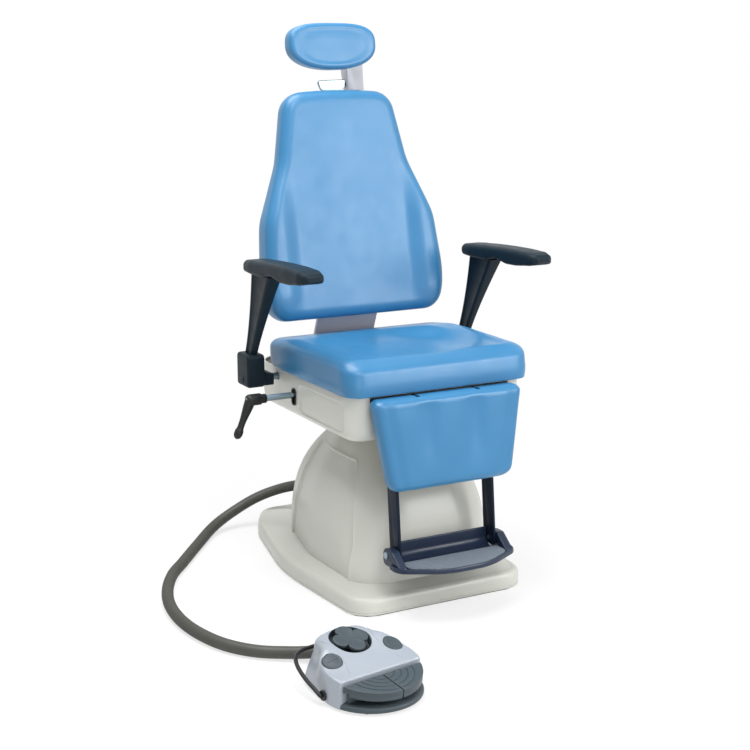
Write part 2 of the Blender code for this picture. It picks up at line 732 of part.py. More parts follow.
def back_outline(distance=0.0):
    return rounded(mirrored([
        (BACK_HALF_WIDTH * 0.94 - distance, distance, 0.050),
        (BACK_HALF_WIDTH + 0.003 - distance, BACK_HEIGHT * 0.158, 0.30),
        (BACK_HALF_WIDTH * 0.952 - distance, BACK_HEIGHT * 0.435, 0.16),
        (BACK_HALF_WIDTH * 0.724 - distance, BACK_HEIGHT * 0.692, 0.22),
        (BACK_TOP_HALF_WIDTH - distance, BACK_HEIGHT - 0.004 - distance, 0.056),
        (BACK_TOP_HALF_WIDTH * 0.4, BACK_HEIGHT + 0.001 - distance, 0.20),
    ]), 3)


def back_shape(x, u):
    side = smooth(abs(x), BACK_HALF_WIDTH * 0.40, BACK_HALF_WIDTH * 0.82)
    low_part = 1.0 - smooth(u, BACK_HEIGHT * 0.45, BACK_HEIGHT * 0.78)
    crown = 0.004 * (1.0 - smooth(abs(x), 0.0, BACK_TOP_HALF_WIDTH))
    return BOLSTER * side * low_part + crown


back_cushion = pad("back_cushion", back_outline(), BACK_FRAME, BACK_THICKNESS, 0.028, back_shape, VINYL)


def back_spot(x, u, n):
    return BACK_ORIGIN + Vector((x, 0, 0)) + BACK_UP * u + BACK_OUT * n


panel_rings = []
for n, distance in ((-GAP - BACK_PANEL, 0.016), (-GAP - BACK_PANEL * 0.6, 0.010), (-GAP, 0.010)):
    panel_rings.append([back_spot(x, u, n) for x, u in back_outline(distance)])
back_panel = loft("back_panel", panel_rings, CREAM)


def strip(points, thickness):
    """Outline of a bent plate that follows a line of points, thickness to its right."""
    left = []
    right = []
    count = len(points)
    for i in range(count):
        here = Vector(points[i])
        before = (here - Vector(points[i - 1])).normalized() if i > 0 else None
        after = (Vector(points[i + 1]) - here).normalized() if i < count - 1 else None
        along = ((before or after) + (after or before)).normalized()
        side = Vector((along.y, -along.x))
        scale = 1.0 if before is None else 1.0 / max(0.5, side.dot(Vector((before.y, -before.x))))
        left.append((here.x, here.y))
        right.append(tuple(here + side * thickness * scale))
    return left + right[::-1]


panel_back = -GAP - BACK_PANEL - GAP
bend = back_spot(0, 0.016, panel_back)
strip_top = back_spot(0, 0.245, panel_back)
bracket_line = [
    (HINGE_Y - BRACKET_PLATE / 2, HINGE_Z), (HINGE_Y - BRACKET_PLATE / 2, HINGE_Z + 0.062),
    (HINGE_Y + BRACKET_BULGE, bend.z - 0.064), (bend.y, bend.z), (strip_top.y, strip_top.z)]
back_bracket = prism(
    "back_bracket", strip(bracket_line, BRACKET_PLATE), "X", -BRACKET_HALF_WIDTH, BRACKET_HALF_WIDTH, GREY)
join(back_bracket, rod(
    "hinge_barrel", (-BRACKET_HALF_WIDTH + 0.0005, HINGE_Y, HINGE_Z),
    (BRACKET_HALF_WIDTH - 0.0005, HINGE_Y, HINGE_Z), HINGE_PIN_RADIUS + 0.006))
cut(back_bracket, rod("barrel_bore", (-0.2, HINGE_Y, HINGE_Z), (0.2, HINGE_Y, HINGE_Z), HINGE_PIN_RADIUS + GAP))


# Headrest guide and stem
def back_block(name, x_low, x_high, u_low, u_high, n_low, n_high, look=None):
    rings = []
    for n in (n_low, n_high):
        rings.append([
            back_spot(x, u, n) for x, u in ((x_low, u_low), (x_high, u_low), (x_high, u_high), (x_low, u_high))])
    return loft(name, rings, look)


stem_low = -STEM_SETBACK - STEM_THICKNESS / 2
stem_high = -STEM_SETBACK + STEM_THICKNESS / 2
stem_half = STEM_WIDTH / 2
guide_low = STEM_FOOT + 0.050
guide_high = BACK_HEIGHT - 0.047
headrest_guide = back_block(
    "headrest_guide", HEAD_X - stem_half - 0.008, HEAD_X + stem_half + 0.008, guide_low, guide_high,
    stem_low - 0.008, panel_back, DARK)
cut(headrest_guide, back_block(
    "stem_slot", HEAD_X - stem_half - GAP, HEAD_X + stem_half + GAP, guide_low - 0.02, guide_high + 0.02,
    stem_low - GAP, stem_high + GAP))
headrest_stem = back_block(
    "headrest_stem", HEAD_X - stem_half, HEAD_X + stem_half, STEM_FOOT, STEM_TOP, stem_low, stem_high, CHROME)
STEM_AXIS = back_spot(HEAD_X, STEM_TOP, -STEM_SETBACK)
join(headrest_stem, rod(
    "stem_eye", STEM_AXIS - Vector((stem_half - 0.0005, 0, 0)), STEM_AXIS + Vector((stem_half - 0.0005, 0, 0)), 0.010))
cut(headrest_stem, rod(
    "stem_bore", STEM_AXIS - Vector((0.05, 0, 0)), STEM_AXIS + Vector((0.05, 0, 0)), 0.005 + GAP, segments=20))

# Headrest pad, plate and bracket
tilt = math.radians(HEAD_LEAN)
HEAD_UP = Vector((0, math.sin(tilt), math.cos(tilt)))
HEAD_OUT = Vector((0, -math.cos(tilt), math.sin(tilt)))
HEAD_ORIGIN = back_spot(0, BACK_HEIGHT + HEAD_RISE, HEAD_SETOUT)


def head_outline(distance=0.0):
    points = []
    for k in range(24):
        angle = math.tau * (k + 0.5) / 24
        across = math.cos(angle)
        along = math.sin(angle)
        square = HEAD_TOP_SQUARE if along > 0 else HEAD_FOOT_SQUARE
        depth = HEAD_DEPTH_UP if along > 0 else HEAD_DEPTH_DOWN
        points.append((math.copysign(abs(across) ** (2 / square), across) * (HEAD_HALF_WIDTH - distance),
                       math.copysign(abs(along) ** (2 / square), along) * (depth - distance)))
    return points


def head_shape(x, u):
    return 0.006 * smooth(abs(x), 0.03, 0.10) - 0.003 * smooth(u, 0.01, 0.05)


headrest_cushion = pad(
    "headrest_cushion", head_outline(), (HEAD_ORIGIN, (1, 0, 0), HEAD_UP, HEAD_OUT),
    HEAD_THICKNESS, 0.022, head_shape, VINYL, HEAD_DRAW)


def head_spot(x, u, n):
    return HEAD_ORIGIN + Vector((x, 0, 0)) + HEAD_UP * u + HEAD_OUT * n


plate_low = -GAP - 0.005
headrest_plate = loft("headrest_plate", [
    [head_spot(x, u, n) for x, u in head_outline(0.014)] for n in (plate_low, -GAP)], CREAM)
HEAD_AXIS = head_spot(HEAD_X, 0.0, -HEAD_PIVOT_BACK)
inner_half = CHANNEL_WIDTH / 2 - CHANNEL_WALL
knuckle_half = inner_half - 0.0006
knuckle_root = head_spot(HEAD_X, 0.0, plate_low + 0.001)
join(headrest_plate, lug(
    "plate_lug", HEAD_X - knuckle_half, HEAD_X + knuckle_half, (HEAD_AXIS.y, HEAD_AXIS.z), 0.0095,
    (knuckle_root.y, knuckle_root.z), 0.0095))
cut(headrest_plate, rod(
    "plate_bore", HEAD_AXIS - Vector((0.05, 0, 0)), HEAD_AXIS + Vector((0.05, 0, 0)), 0.005 + GAP, segments=20))

# The bracket is a channel with its web to the front; its cheeks run on as ears past the web's top.
stem_point = Vector((STEM_AXIS.y, STEM_AXIS.z))
head_point = Vector((HEAD_AXIS.y, HEAD_AXIS.z))
channel_up = (head_point - stem_point).normalized()
channel_front = Vector((-channel_up.y, channel_up.x))
reach = (head_point - stem_point).length
cheek = []
for along, ahead in ((-0.014, 0.0135), (reach - 0.022, 0.0135), (reach - 0.008, 0.012), (reach + 0.010, 0.006),
                     (reach + 0.010, -0.010), (reach - 0.020, -0.022), (0.030, -0.020), (-0.014, -0.011)):
    spot = stem_point + channel_up * along + channel_front * ahead
    cheek.append((spot.x, spot.y))
headrest_bracket = prism(
    "headrest_bracket", cheek, "X", HEAD_X - CHANNEL_WIDTH / 2, HEAD_X + CHANNEL_WIDTH / 2, CREAM)
hollow = []
for along, ahead in ((-0.05, 0.0105), (reach - 0.030, 0.0105), (reach - 0.030, 0.05), (reach + 0.05, 0.05),
                     (reach + 0.05, -0.05), (-0.05, -0.05)):
    spot = stem_point + channel_up * along + channel_front * ahead
    hollow.append((spot.x, spot.y))
cut(headrest_bracket, prism("channel_hollow", hollow, "X", HEAD_X - inner_half, HEAD_X + inner_half))
for axis_point in (STEM_AXIS, HEAD_AXIS):
    cut(headrest_bracket, rod(
        "cheek_bore", axis_point - Vector((0.05, 0, 0)), axis_point + Vector((0.05, 0, 0)), 0.005 + GAP, segments=16))
pin_half = Vector((CHANNEL_WIDTH / 2 + 0.002, 0, 0))
headrest_stem_pin = rod("headrest_stem_pin", STEM_AXIS - pin_half, STEM_AXIS + pin_half, 0.005, STEEL, segments=20)
headrest_pin = rod("headrest_pin", HEAD_AXIS - pin_half, HEAD_AXIS + pin_half, 0.005, STEEL, segments=20)
lever_start = HEAD_X - CHANNEL_WIDTH / 2 - 0.0025
lever_tip = lever_start - HEAD_LEVER_LENGTH
blade_y = STEM_AXIS.y
blade = rounded([
    (lever_tip, STEM_AXIS.z + 0.012, 0.006), (lever_tip + 0.012, STEM_AXIS.z - 0.014, 0.008),
    (lever_start - 0.012, STEM_AXIS.z - 0.014, 0.010), (lever_start, STEM_AXIS.z - 0.004, 0.003),
    (lever_start, STEM_AXIS.z + 0.014, 0.003)], 3)
headrest_lever = prism("headrest_lever", blade, "Y", blade_y - 0.0045, blade_y + 0.0045, CHROME)
bevel(headrest_lever, 0.002, 1)

# Legrest
leg_lean = math.radians(LEG_LEAN)
LEG_DOWN = Vector((0, -math.sin(leg_lean), -math.cos(leg_lean)))
LEG_REAR = Vector((0, math.cos(leg_lean), -math.sin(leg_lean)))
LEG_AXIS = Vector((0, -LEG_AXIS_Y, LEG_AXIS_Z))


def leg_spot(x, s, n):
    return LEG_AXIS + Vector((x, 0, 0)) + LEG_DOWN * s + LEG_REAR * n


def leg_block(name, x_low, x_high, s_low, s_high, n_low, n_high, look=None):
    rings = []
    for n in (n_low, n_high):
        rings.append([
            leg_spot(x, s, n) for x, s in ((x_low, s_low), (x_high, s_low), (x_high, s_high), (x_low, s_high))])
    return loft(name, rings, look)


def leg_row(s, share):
    """Section across the legrest pad: back corners, drawn-in sides, rounded edges and a channelled face."""
    span = LEG_PAD_LENGTH + LEG_PAD_HALF
    down = (s + LEG_PAD_HALF) / span
    width = LEG_TOP_HALF_WIDTH + (LEG_FOOT_HALF_WIDTH - LEG_TOP_HALF_WIDTH) * down
    for corner, room in ((0.020, s + LEG_PAD_HALF), (0.028, LEG_PAD_LENGTH - s)):
        if room < corner:
            width -= corner - math.sqrt(corner ** 2 - (corner - room) ** 2)
    fade = smooth(down, 0.08, 0.30) * (1 - smooth(down, 0.72, 0.94))
    depth = LEG_PAD_HALF * 2
    edge = 0.020
    half = [(width - 0.005, 0.0), (width - 0.001, depth * 0.14), (width, depth * 0.42)]
    for degrees in (30, 62):
        angle = math.radians(degrees)
        half.append((width - edge * (1 - math.cos(angle)), depth - 0.004 - edge * 0.75 * (1 - math.sin(angle))))
    for k in range(8):
        x = (width - edge) * (1 - k / 8)
        channel = math.exp(-((x - LEG_CHANNEL_X) / 0.014) ** 2) + math.exp(-((x + LEG_CHANNEL_X) / 0.014) ** 2)
        half.append((x, depth - LEG_CHANNEL_DEPTH * channel * fade))
    half.append((0.0, depth))
    ring = half + [(-x, height) for x, height in reversed(half[:-1])]
    back = LEG_PAD_HALF - LEG_AXIS_BACK
    return [leg_spot(x, s, back - height * share) for x, height in ring]


pad_rows = [(0.0, 0.45), (0.003, 0.68), (0.009, 0.88), (0.020, 1.0)]
leg_rows = [leg_row(-LEG_PAD_HALF + along, share) for along, share in pad_rows]
for k in range(1, 6):
    leg_rows.append(leg_row(-LEG_PAD_HALF + 0.020 + (LEG_PAD_LENGTH + LEG_PAD_HALF - 0.040) * k / 6, 1.0))
leg_rows += [leg_row(LEG_PAD_LENGTH - along, share) for along, share in reversed(pad_rows)]
legrest_cushion = loft("legrest_cushion", leg_rows, VINYL)
board_low = LEG_PAD_HALF - LEG_AXIS_BACK + GAP
board_high = board_low + LEG_BOARD
board_half = BAR_HALF_SPAN - BAR_THICKNESS - GAP
legrest_board = leg_block(
    "legrest_board", -board_half, board_half, 0.020, LEG_PAD_LENGTH - 0.012, board_low, board_high, NAVY)
legrest_pins = []
relief = LEG_LUG_RADIUS + 0.0015
for side, tag in ((-1, "right"), (1, "left")):
    low, high = sorted((side * (LEG_LUG_X - 0.0185), side * (LEG_LUG_X + 0.0185)))
    cut(legrest_cushion, box(
        "hinge_notch", (low, -LEG_AXIS_Y - relief, LEG_AXIS_Z - relief - 0.004),
        (high, -LEG_AXIS_Y + 0.08, LEG_AXIS_Z + 0.06)))
    cut(legrest_cushion, leg_block("lug_relief", low, high, -0.005, 0.034, -relief, 0.06))
    cut(legrest_board, leg_block("lug_window", low + 0.0125, high - 0.0125, 0.0, 0.034, 0.0, 0.06))
    for shift in (-0.012, 0.012):
        middle = side * LEG_LUG_X + shift
        root = leg_spot(0, 0.026, board_low + LEG_BOARD / 2)
        join(legrest_board, lug(
            "leg_lug", middle - 0.004, middle + 0.004, leg_axis, LEG_LUG_RADIUS, (root.y, root.z), 0.0055))
    cut(legrest_board, rod(
        "leg_bore", (low - 0.02, *leg_axis), (high + 0.02, *leg_axis), LEG_PIN_RADIUS + GAP, segments=16))
    legrest_pins.append(rod(
        "legrest_pin_" + tag, (low + 0.0015, *leg_axis), (high - 0.0015, *leg_axis), LEG_PIN_RADIUS, STEEL,
        segments=16))

footrest_bars = []
footrest_pins = []
TRAY_AXIS = leg_spot(0, TRAY_PIVOT, board_low + BAR_DEPTH / 2)
for side, tag in ((-1, "right"), (1, "left")):
    low, high = sorted((side * BAR_HALF_SPAN, side * (BAR_HALF_SPAN - BAR_THICKNESS)))
    bar = leg_block(
        "footrest_bar_" + tag, low, high, BAR_TOP, TRAY_PIVOT + BAR_END, board_low, board_low + BAR_DEPTH, NAVY)
    bevel(bar, 0.0015, 1)
    cut(bar, rod("bar_bore", (low - 0.01, TRAY_AXIS.y, TRAY_AXIS.z), (high + 0.01, TRAY_AXIS.y, TRAY_AXIS.z),
                 0.005 + GAP, segments=16))
    footrest_bars.append(bar)

# Footrest tray: a D-shaped pan in front of the bars, run on between them to a low wall, and a cheek outside each bar
tray_top = TRAY_AXIS.z - TRAY_DROP
tray_low = tray_top - TRAY_PLATE
tray_front = TRAY_AXIS.y - TRAY_REACH
tray_rear = TRAY_AXIS.y - BAR_DEPTH / 2 - 0.0035


def tray_outline(distance=0.0):
    return rounded(mirrored([
        (TRAY_HALF_WIDTH * 0.36, tray_front + distance, 0.15),
        (TRAY_HALF_WIDTH - distance, tray_front + 0.056 + distance * 0.5, 0.036 - distance),
        (TRAY_HALF_WIDTH - distance, tray_rear - distance, 0.005)]), 4)


footrest_tray = prism("footrest_tray", tray_outline(), "Z", tray_low, tray_top, NAVY)
bevel(footrest_tray, 0.002, 1)
cheek_low = BAR_HALF_SPAN + 0.0008
cheek_high = cheek_low + CHEEK_THICKNESS
wall_half = BAR_HALF_SPAN - BAR_THICKNESS - 0.0008
wall_front = TRAY_AXIS.y + BAR_DEPTH / 2 - TRAY_WALL - 0.008
join(footrest_tray, box(
    "tray_run", (-wall_half, tray_rear - 0.003, tray_low + 0.001),
    (wall_half, wall_front + TRAY_WALL, tray_top - 0.001)))
wall_shape = rounded([
    (wall_front + TRAY_WALL, tray_low + 0.002, 0.001), (wall_front + TRAY_WALL, TRAY_AXIS.z + TRAY_WALL_RISE, 0.0025),
    (wall_front, TRAY_AXIS.z + TRAY_WALL_RISE, 0.0025), (wall_front, tray_top + 0.010, 0.012),
    (wall_front - 0.012, tray_top - 0.002, 0.001), (wall_front - 0.012, tray_low + 0.002, 0.001)], 3)
join(footrest_tray, prism("tray_wall", wall_shape, "X", -wall_half, wall_half))
cheek_shape = rounded([
    (TRAY_AXIS.y + 0.0165, tray_low, 0.012), (TRAY_AXIS.y + 0.0165, TRAY_AXIS.z + 0.0165, 0.015),
    (TRAY_AXIS.y - 0.022, TRAY_AXIS.z + 0.0165, 0.015), (TRAY_AXIS.y - 0.064, tray_top + 0.001, 0.006),
    (TRAY_AXIS.y - 0.064, tray_low, 0.002)], 3)
for side, tag in ((-1, "right"), (1, "left")):
    low, high = sorted((side * cheek_low, side * cheek_high))
    join(footrest_tray, prism("tray_cheek", cheek_shape, "X", low, high))
    cut(footrest_tray, rod(
        "cheek_bore", (low - 0.01, TRAY_AXIS.y, TRAY_AXIS.z), (high + 0.01, TRAY_AXIS.y, TRAY_AXIS.z), 0.005 + GAP,
        segments=16))
    stem_end = -CHEEK_THICKNESS - BAR_THICKNESS - 0.0015
    pin = turned("footrest_pin_" + tag, [
        (0.0, 0.0035), (0.006, 0.0035), (0.0085, 0.0015), (0.0085, 0.0), (0.005, 0.0),
        (0.005, stem_end), (0.0, stem_end)], STEEL, steps=16, closed=False)
    pin.matrix_world = Matrix.Translation((side * (cheek_high + GAP), TRAY_AXIS.y, TRAY_AXIS.z)) @ Matrix.Rotation(
        math.radians(90 * side), 4, "Y")
    footrest_pins.append(pin)
mat_rear = tray_rear - 0.003
mat_half = cheek_low - 0.002
mat_outline = rounded(mirrored([
    (TRAY_HALF_WIDTH * 0.36, tray_front + 0.009, 0.13), (mat_half, tray_front + 0.050, 0.024),
    (mat_half, mat_rear, 0.004)]), 4)
footrest_mat = prism("footrest_mat", mat_outline, "Z", tray_top + GAP, tray_top + GAP + MAT_THICKNESS, RUBBER)
groove_pitch = (mat_rear - tray_front - 0.009) / 9
for k in range(1, 9):
    y = mat_rear - groove_pitch * k
    reach = mat_half - 0.008 - 0.075 * smooth(mat_rear - y, groove_pitch * 3, groove_pitch * 9)
    cut(footrest_mat, box(
        "mat_groove", (-reach, y - 0.0012, tray_top + GAP + MAT_THICKNESS * 0.55), (reach, y + 0.0012, tray_top + 0.02)))


# Armrests
def section(x, y, z, half_x, half_y, radius):
    return [(x + a, y + b, z) for a, b in rounded([
        (half_x, -half_y, radius), (half_x, half_y, radius), (-half_x, half_y, radius), (-half_x, -half_y, radius)], 3)]


def upright(x, y, low, high, half_width, radius):
    """Section across Y for the arm pad."""
    middle = (low + high) / 2
    half = (high - low) / 2
    limit = min(radius, half * 0.9, half_width * 0.9)
    return [(x + a, y, middle + b) for a, b in rounded([
        (half_width, -half, limit * 0.6), (half_width, half, limit), (-half_width, half, limit),
        (-half_width, -half, limit * 0.6)], 3)]


arms = {}
SOCKET_TOP = ARM_Z + 0.065
SOCKET_LOW = ARM_Z - 0.0160
for side, tag in ((-1, "right"), (1, "left")):
    middle = side * ARM_X
    shaft_start = side * (RAIL_INNER + 0.002)
    foot_end = side * (SHELL_HALF_WIDTH + 0.018)
    shaft = rod("arm_shaft_" + tag, (shaft_start, ARM_Y, ARM_Z), (side * (ARM_X - 0.010), ARM_Y, ARM_Z),
                ARM_SHAFT_RADIUS, STEEL)
    low, high = sorted((middle - side * 0.022, middle + side * 0.024))
    socket = box("arm_socket_" + tag, (low, ARM_Y - 0.037, SOCKET_LOW), (high, ARM_Y + 0.033, SOCKET_TOP), SLATE)
    bevel(socket, 0.008, 2)
    boot = [(foot_end, SOCKET_LOW + 0.0005), (middle, SOCKET_LOW + 0.0005), (middle, ARM_Z + 0.024),
            (middle - side * 0.022, ARM_Z + 0.024), (middle - side * 0.034, ARM_Z + 0.016), (foot_end, ARM_Z + 0.0125)]
    foot = prism("socket_foot", boot, "Y", ARM_Y - 0.026, ARM_Y + 0.024)
    bevel(foot, 0.003, 1)
    join(socket, foot)
    cut(socket, rod("socket_bore", (side * 0.2, ARM_Y, ARM_Z), (side * (ARM_X - 0.010 + GAP), ARM_Y, ARM_Z),
                    ARM_SHAFT_RADIUS + GAP))
    span = ARM_PAD_UNDER - GAP - SOCKET_TOP - GAP
    rings = []
    for share in (0.0, 0.10, 0.3, 0.55, 0.8, 1.0):
        grow = share ** 1.5
        rings.append(section(
            middle, ARM_Y - 0.004 - ARM_POST_SWEEP * share, SOCKET_TOP + GAP + span * share,
            0.009 + 0.009 * grow, 0.0205 + 0.0300 * grow, 0.006))
    post = loft("arm_post_" + tag, rings, SLATE)
    length = ARM_PAD_REAR + ARM_PAD_FRONT
    rings = []
    for share, height, width, lift in (
            (0.0, 0.55, 0.55, 0.008), (0.012, 0.72, 0.76, 0.004), (0.05, 0.80, 0.93, 0.001), (0.15, 0.88, 1.0, 0.0),
            (0.35, 1.0, 1.0, 0.0), (0.55, 1.08, 1.0, 0.0), (0.75, 1.06, 1.0, 0.001), (0.92, 0.96, 0.95, 0.004),
            (0.975, 0.86, 0.80, 0.007), (1.0, 0.68, 0.58, 0.012)):
        rings.append(upright(
            middle, ARM_PAD_REAR - length * share, ARM_PAD_UNDER + lift, ARM_PAD_UNDER + ARM_PAD_THICKNESS * height,
            ARM_PAD_HALF_WIDTH * width, 0.014))
    arm_pad = loft("arm_pad_" + tag, rings, SLATE)
    arms[tag] = (shaft, socket, post, arm_pad)

# Swivel lock
lock_rod = rod(
    "lock_rod", (-SPIGOT_RADIUS + 0.0012, LOCK_Y, LOCK_Z), (-LOCK_REACH, LOCK_Y, LOCK_Z), LOCK_ROD_RADIUS, STEEL, segments=20)
lock_lever = rod(
    "lock_lever", (-LOCK_REACH + 0.034, LOCK_Y, LOCK_Z), (-LOCK_REACH - 0.016, LOCK_Y, LOCK_Z), LEVER_RADIUS, DARK, segments=16)
join(lock_lever, rod(
    "lever_grip", (-LOCK_REACH - 0.004, LOCK_Y, LOCK_Z), (-LOCK_REACH - LEVER_OUT, LOCK_Y, LOCK_Z - LEVER_DROP),
    LEVER_RADIUS - 0.001, end_radius=0.0085, segments=16))
cut(lock_lever, rod(
    "lever_bore", (-0.2, LOCK_Y, LOCK_Z), (-LOCK_REACH - GAP, LOCK_Y, LOCK_Z), LOCK_ROD_RADIUS + GAP, segments=20))

# Foot control, built about its own origin and then turned into place
PEDAL_PLACE = Matrix.Translation((PEDAL_X, PEDAL_Y, 0)) @ Matrix.Rotation(math.radians(PEDAL_YAW), 4, "Z")


def settle(*objects):
    for obj in objects:
        obj.matrix_world = PEDAL_PLACE @ obj.matrix_world


DISC_Y = -0.033
front_edge = DISC_Y - PEDAL_RADIUS


def base_shape(distance=0.0):
    radius = PEDAL_RADIUS - distance
    points = []
    for k in range(25):
        angle = math.radians(-195 + 210 * k / 24)
        points.append((radius * math.cos(angle), DISC_Y + radius * math.sin(angle)))
    rear = PEDAL_REAR - distance
    half = PEDAL_RADIUS * 0.86 - distance
    for x, y in ((half, rear - 0.055), (half - 0.010, rear - 0.022), (half - 0.040, rear), (-half + 0.040, rear),
                 (-half + 0.010, rear - 0.022), (-half, rear - 0.055)):
        points.append((x, y))
    return points


house_front = -TREAD_REAR + 0.003
base_rings = [level(base_shape(0.004), 0.004), level(base_shape(0.0), 0.008), level(base_shape(0.0), 0.014),
              level(base_shape(0.003), PEDAL_BASE_TOP)]
pedal_base = loft("pedal_base", base_rings, CONTROL)
housing_bed = box("housing_bed", (-0.2, house_front - GAP, PEDAL_BED), (0.2, 0.2, 0.1))
cut(pedal_base, housing_bed)

# The treads rock on a ridge that stands on the base; its round top is centred on their axis
tread_low = PEDAL_BASE_TOP + TREAD_LIFT
TREAD_AXIS_Y = -TREAD_REAR - 0.006
TREAD_AXIS_Z = tread_low - GAP - RIDGE_RADIUS
ridge_helpers = [
    box("ridge_web", (-0.088, TREAD_AXIS_Y - 0.003, PEDAL_BASE_TOP - 0.002), (0.088, TREAD_AXIS_Y + 0.003, TREAD_AXIS_Z)),
    rod("ridge", (-0.0885, TREAD_AXIS_Y, TREAD_AXIS_Z), (0.0885, TREAD_AXIS_Y, TREAD_AXIS_Z), RIDGE_RADIUS, segments=16)]
BAIL_Y = -0.015
bail_z = 0.020
bail_x = PEDAL_RADIUS + GAP
join(pedal_base, *ridge_helpers)
pedal_feet = []
for x, y in ((-0.060, DISC_Y - 0.065), (0.060, DISC_Y - 0.065), (-0.055, PEDAL_REAR - 0.04), (0.055, PEDAL_REAR - 0.04)):
    foot = rod("pedal_foot", (x, y, 0.0), (x, y, PEDAL_BED - 0.001), 0.009, segments=12)
    pedal_feet.append(foot)
    join(pedal_base, foot)

# Housing: walls down to the base plate, a top that climbs from the front edge and a lobe behind each button
HOUSE_MIDDLE = 0.020


def house_outline(distance, front_distance):
    """Outline of the housing, counter-clockwise from the middle of its front edge."""
    radius = PEDAL_RADIUS - distance
    front = house_front + front_distance
    start = math.asin((front - DISC_Y) / radius)
    right = []
    for k in range(6):
        angle = start + (math.radians(15) - start) * k / 5
        right.append((radius * math.cos(angle), DISC_Y + radius * math.sin(angle)))
    rear = PEDAL_REAR - distance
    half = PEDAL_RADIUS * 0.86 - distance
    right += [(half, rear - 0.055), (half - 0.010, rear - 0.022), (half - 0.040, rear), (0.020, rear)]
    right = [(right[0][0] * share, front) for share in (0.2, 0.45, 0.7, 0.9)] + right
    return right + [(-x, y) for x, y in reversed(right)]


def house_top(x, y):
    climb = HOUSE_SLOPE - HOUSE_CROWN * (x / PEDAL_RADIUS) ** 2
    lobe = HOUSE_LOBE * math.exp(-((abs(x) - 0.070) / 0.030) ** 2 - ((y - 0.030) / 0.035) ** 2)
    fall = HOUSE_REAR_FALL * smooth(y, PEDAL_REAR - 0.040, PEDAL_REAR)
    return HOUSE_FRONT_TOP + (y - house_front) * climb + lobe - fall


house_rings = [level(house_outline(0.002, 0.0), PEDAL_BED + GAP), level(house_outline(0.0, 0.0), PEDAL_BED + 0.003)]
for distance, drop in ((0.0, 0.009), (0.0012, 0.004), (0.005, 0.0005)):
    house_rings.append([(x, y, house_top(x, y) - drop) for x, y in house_outline(distance, distance * 0.6)])
for share in (0.84, 0.68, 0.52, 0.36, 0.18):
    ring = [(x * share, HOUSE_MIDDLE + (y - HOUSE_MIDDLE) * share) for x, y in house_outline(0.005, 0.003)]
    house_rings.append([(x, y, house_top(x, y)) for x, y in ring])
pedal_housing = loft("pedal_housing", house_rings, SILVER)
DISH_PLACE = Matrix.Translation((0, DISH_Y, house_top(0, DISH_Y))) @ Matrix.Rotation(math.atan(HOUSE_SLOPE), 4, "X")
dish_cutter = rod("dish_cutter", (0, 0, -DISH_DEPTH), (0, 0, 0.06), DISH_RADIUS)
dish_cutter.matrix_world = DISH_PLACE
cut(pedal_housing, dish_cutter)

# Direction pad on a ball
BALL_RADIUS = 0.0065
ball_height = -DISH_DEPTH + GAP + BALL_RADIUS
ball_profile = []
for k in range(7):
    angle = math.pi / 2 - math.pi * k / 6
    ball_profile.append((max(0.0, BALL_RADIUS * math.cos(angle)) if 0 < k < 6 else 0.0, BALL_RADIUS * math.sin(angle)))
direction_gimbal = turned("direction_gimbal", ball_profile, CONTROL, steps=12, closed=False)
direction_gimbal.matrix_world = DISH_PLACE @ Matrix.Translation((0, 0, ball_height))
lobes = []
for k in range(32):
    angle = math.tau * k / 32
    radius = (DISH_RADIUS - 0.0045) * (0.91 + 0.09 * math.cos(4 * angle))
    lobes.append((radius * math.cos(angle), radius * math.sin(angle)))
pad_low = ball_height + BALL_RADIUS + 0.002
direction_pad = loft("direction_pad", [
    level(inset(lobes, 0.003), pad_low), level(lobes, pad_low + 0.002), level(lobes, pad_low + 0.006),
    level(inset(lobes, 0.004), pad_low + 0.008), level(inset(lobes, 0.020), pad_low + 0.0065)], CONTROL)
direction_pad.matrix_world = DISH_PLACE
stalk = rod("stalk", (0, 0, ball_height + BALL_RADIUS + GAP), (0, 0, pad_low + 0.003), 0.005, segments=16)
stalk.matrix_world = DISH_PLACE
join(direction_pad, stalk)

# Side buttons, square to the housing's surface
buttons = []
button_cutters = []
for side, tag in ((-1, "right"), (1, "left")):
    step = 0.004
    slope_x = (house_top(side * BUTTON_X + step, BUTTON_Y) - house_top(side * BUTTON_X - step, BUTTON_Y)) / (2 * step)
    slope_y = (house_top(side * BUTTON_X, BUTTON_Y + step) - house_top(side * BUTTON_X, BUTTON_Y - step)) / (2 * step)
    normal = Vector((-slope_x, -slope_y, 1.0)).normalized()
    centre = Vector((side * BUTTON_X, BUTTON_Y, house_top(side * BUTTON_X, BUTTON_Y))) - normal * 0.0065
    seat = Matrix.Translation(centre) @ Vector((0, 0, 1)).rotation_difference(normal).to_matrix().to_4x4()
    button = turned("button_" + tag, [
        (0.0, 0.0095), (BUTTON_RADIUS - 0.003, 0.0088), (BUTTON_RADIUS, 0.006), (BUTTON_RADIUS, -0.004), (0.0, -0.004)],
        CONTROL, steps=24, closed=False)
    button.matrix_world = seat
    pocket = rod("button_pocket", (0, 0, -0.0085), (0, 0, 0.05), BUTTON_RADIUS + 0.0005)
    pocket.matrix_world = seat
    cut(pedal_housing, pocket)
    buttons.append(button)
    button_cutters.append(pocket)
    print("button normal", tag, [round(v, 6) for v in PEDAL_PLACE.to_3x3() @ normal])
print("ball centre", [round(v, 6) for v in PEDAL_PLACE @ (DISH_PLACE @ Vector((0, 0, ball_height)))],
      "sideways axis", [round(v, 6) for v in PEDAL_PLACE.to_3x3() @ (DISH_PLACE.to_3x3() @ Vector((0, 1, 0)))])

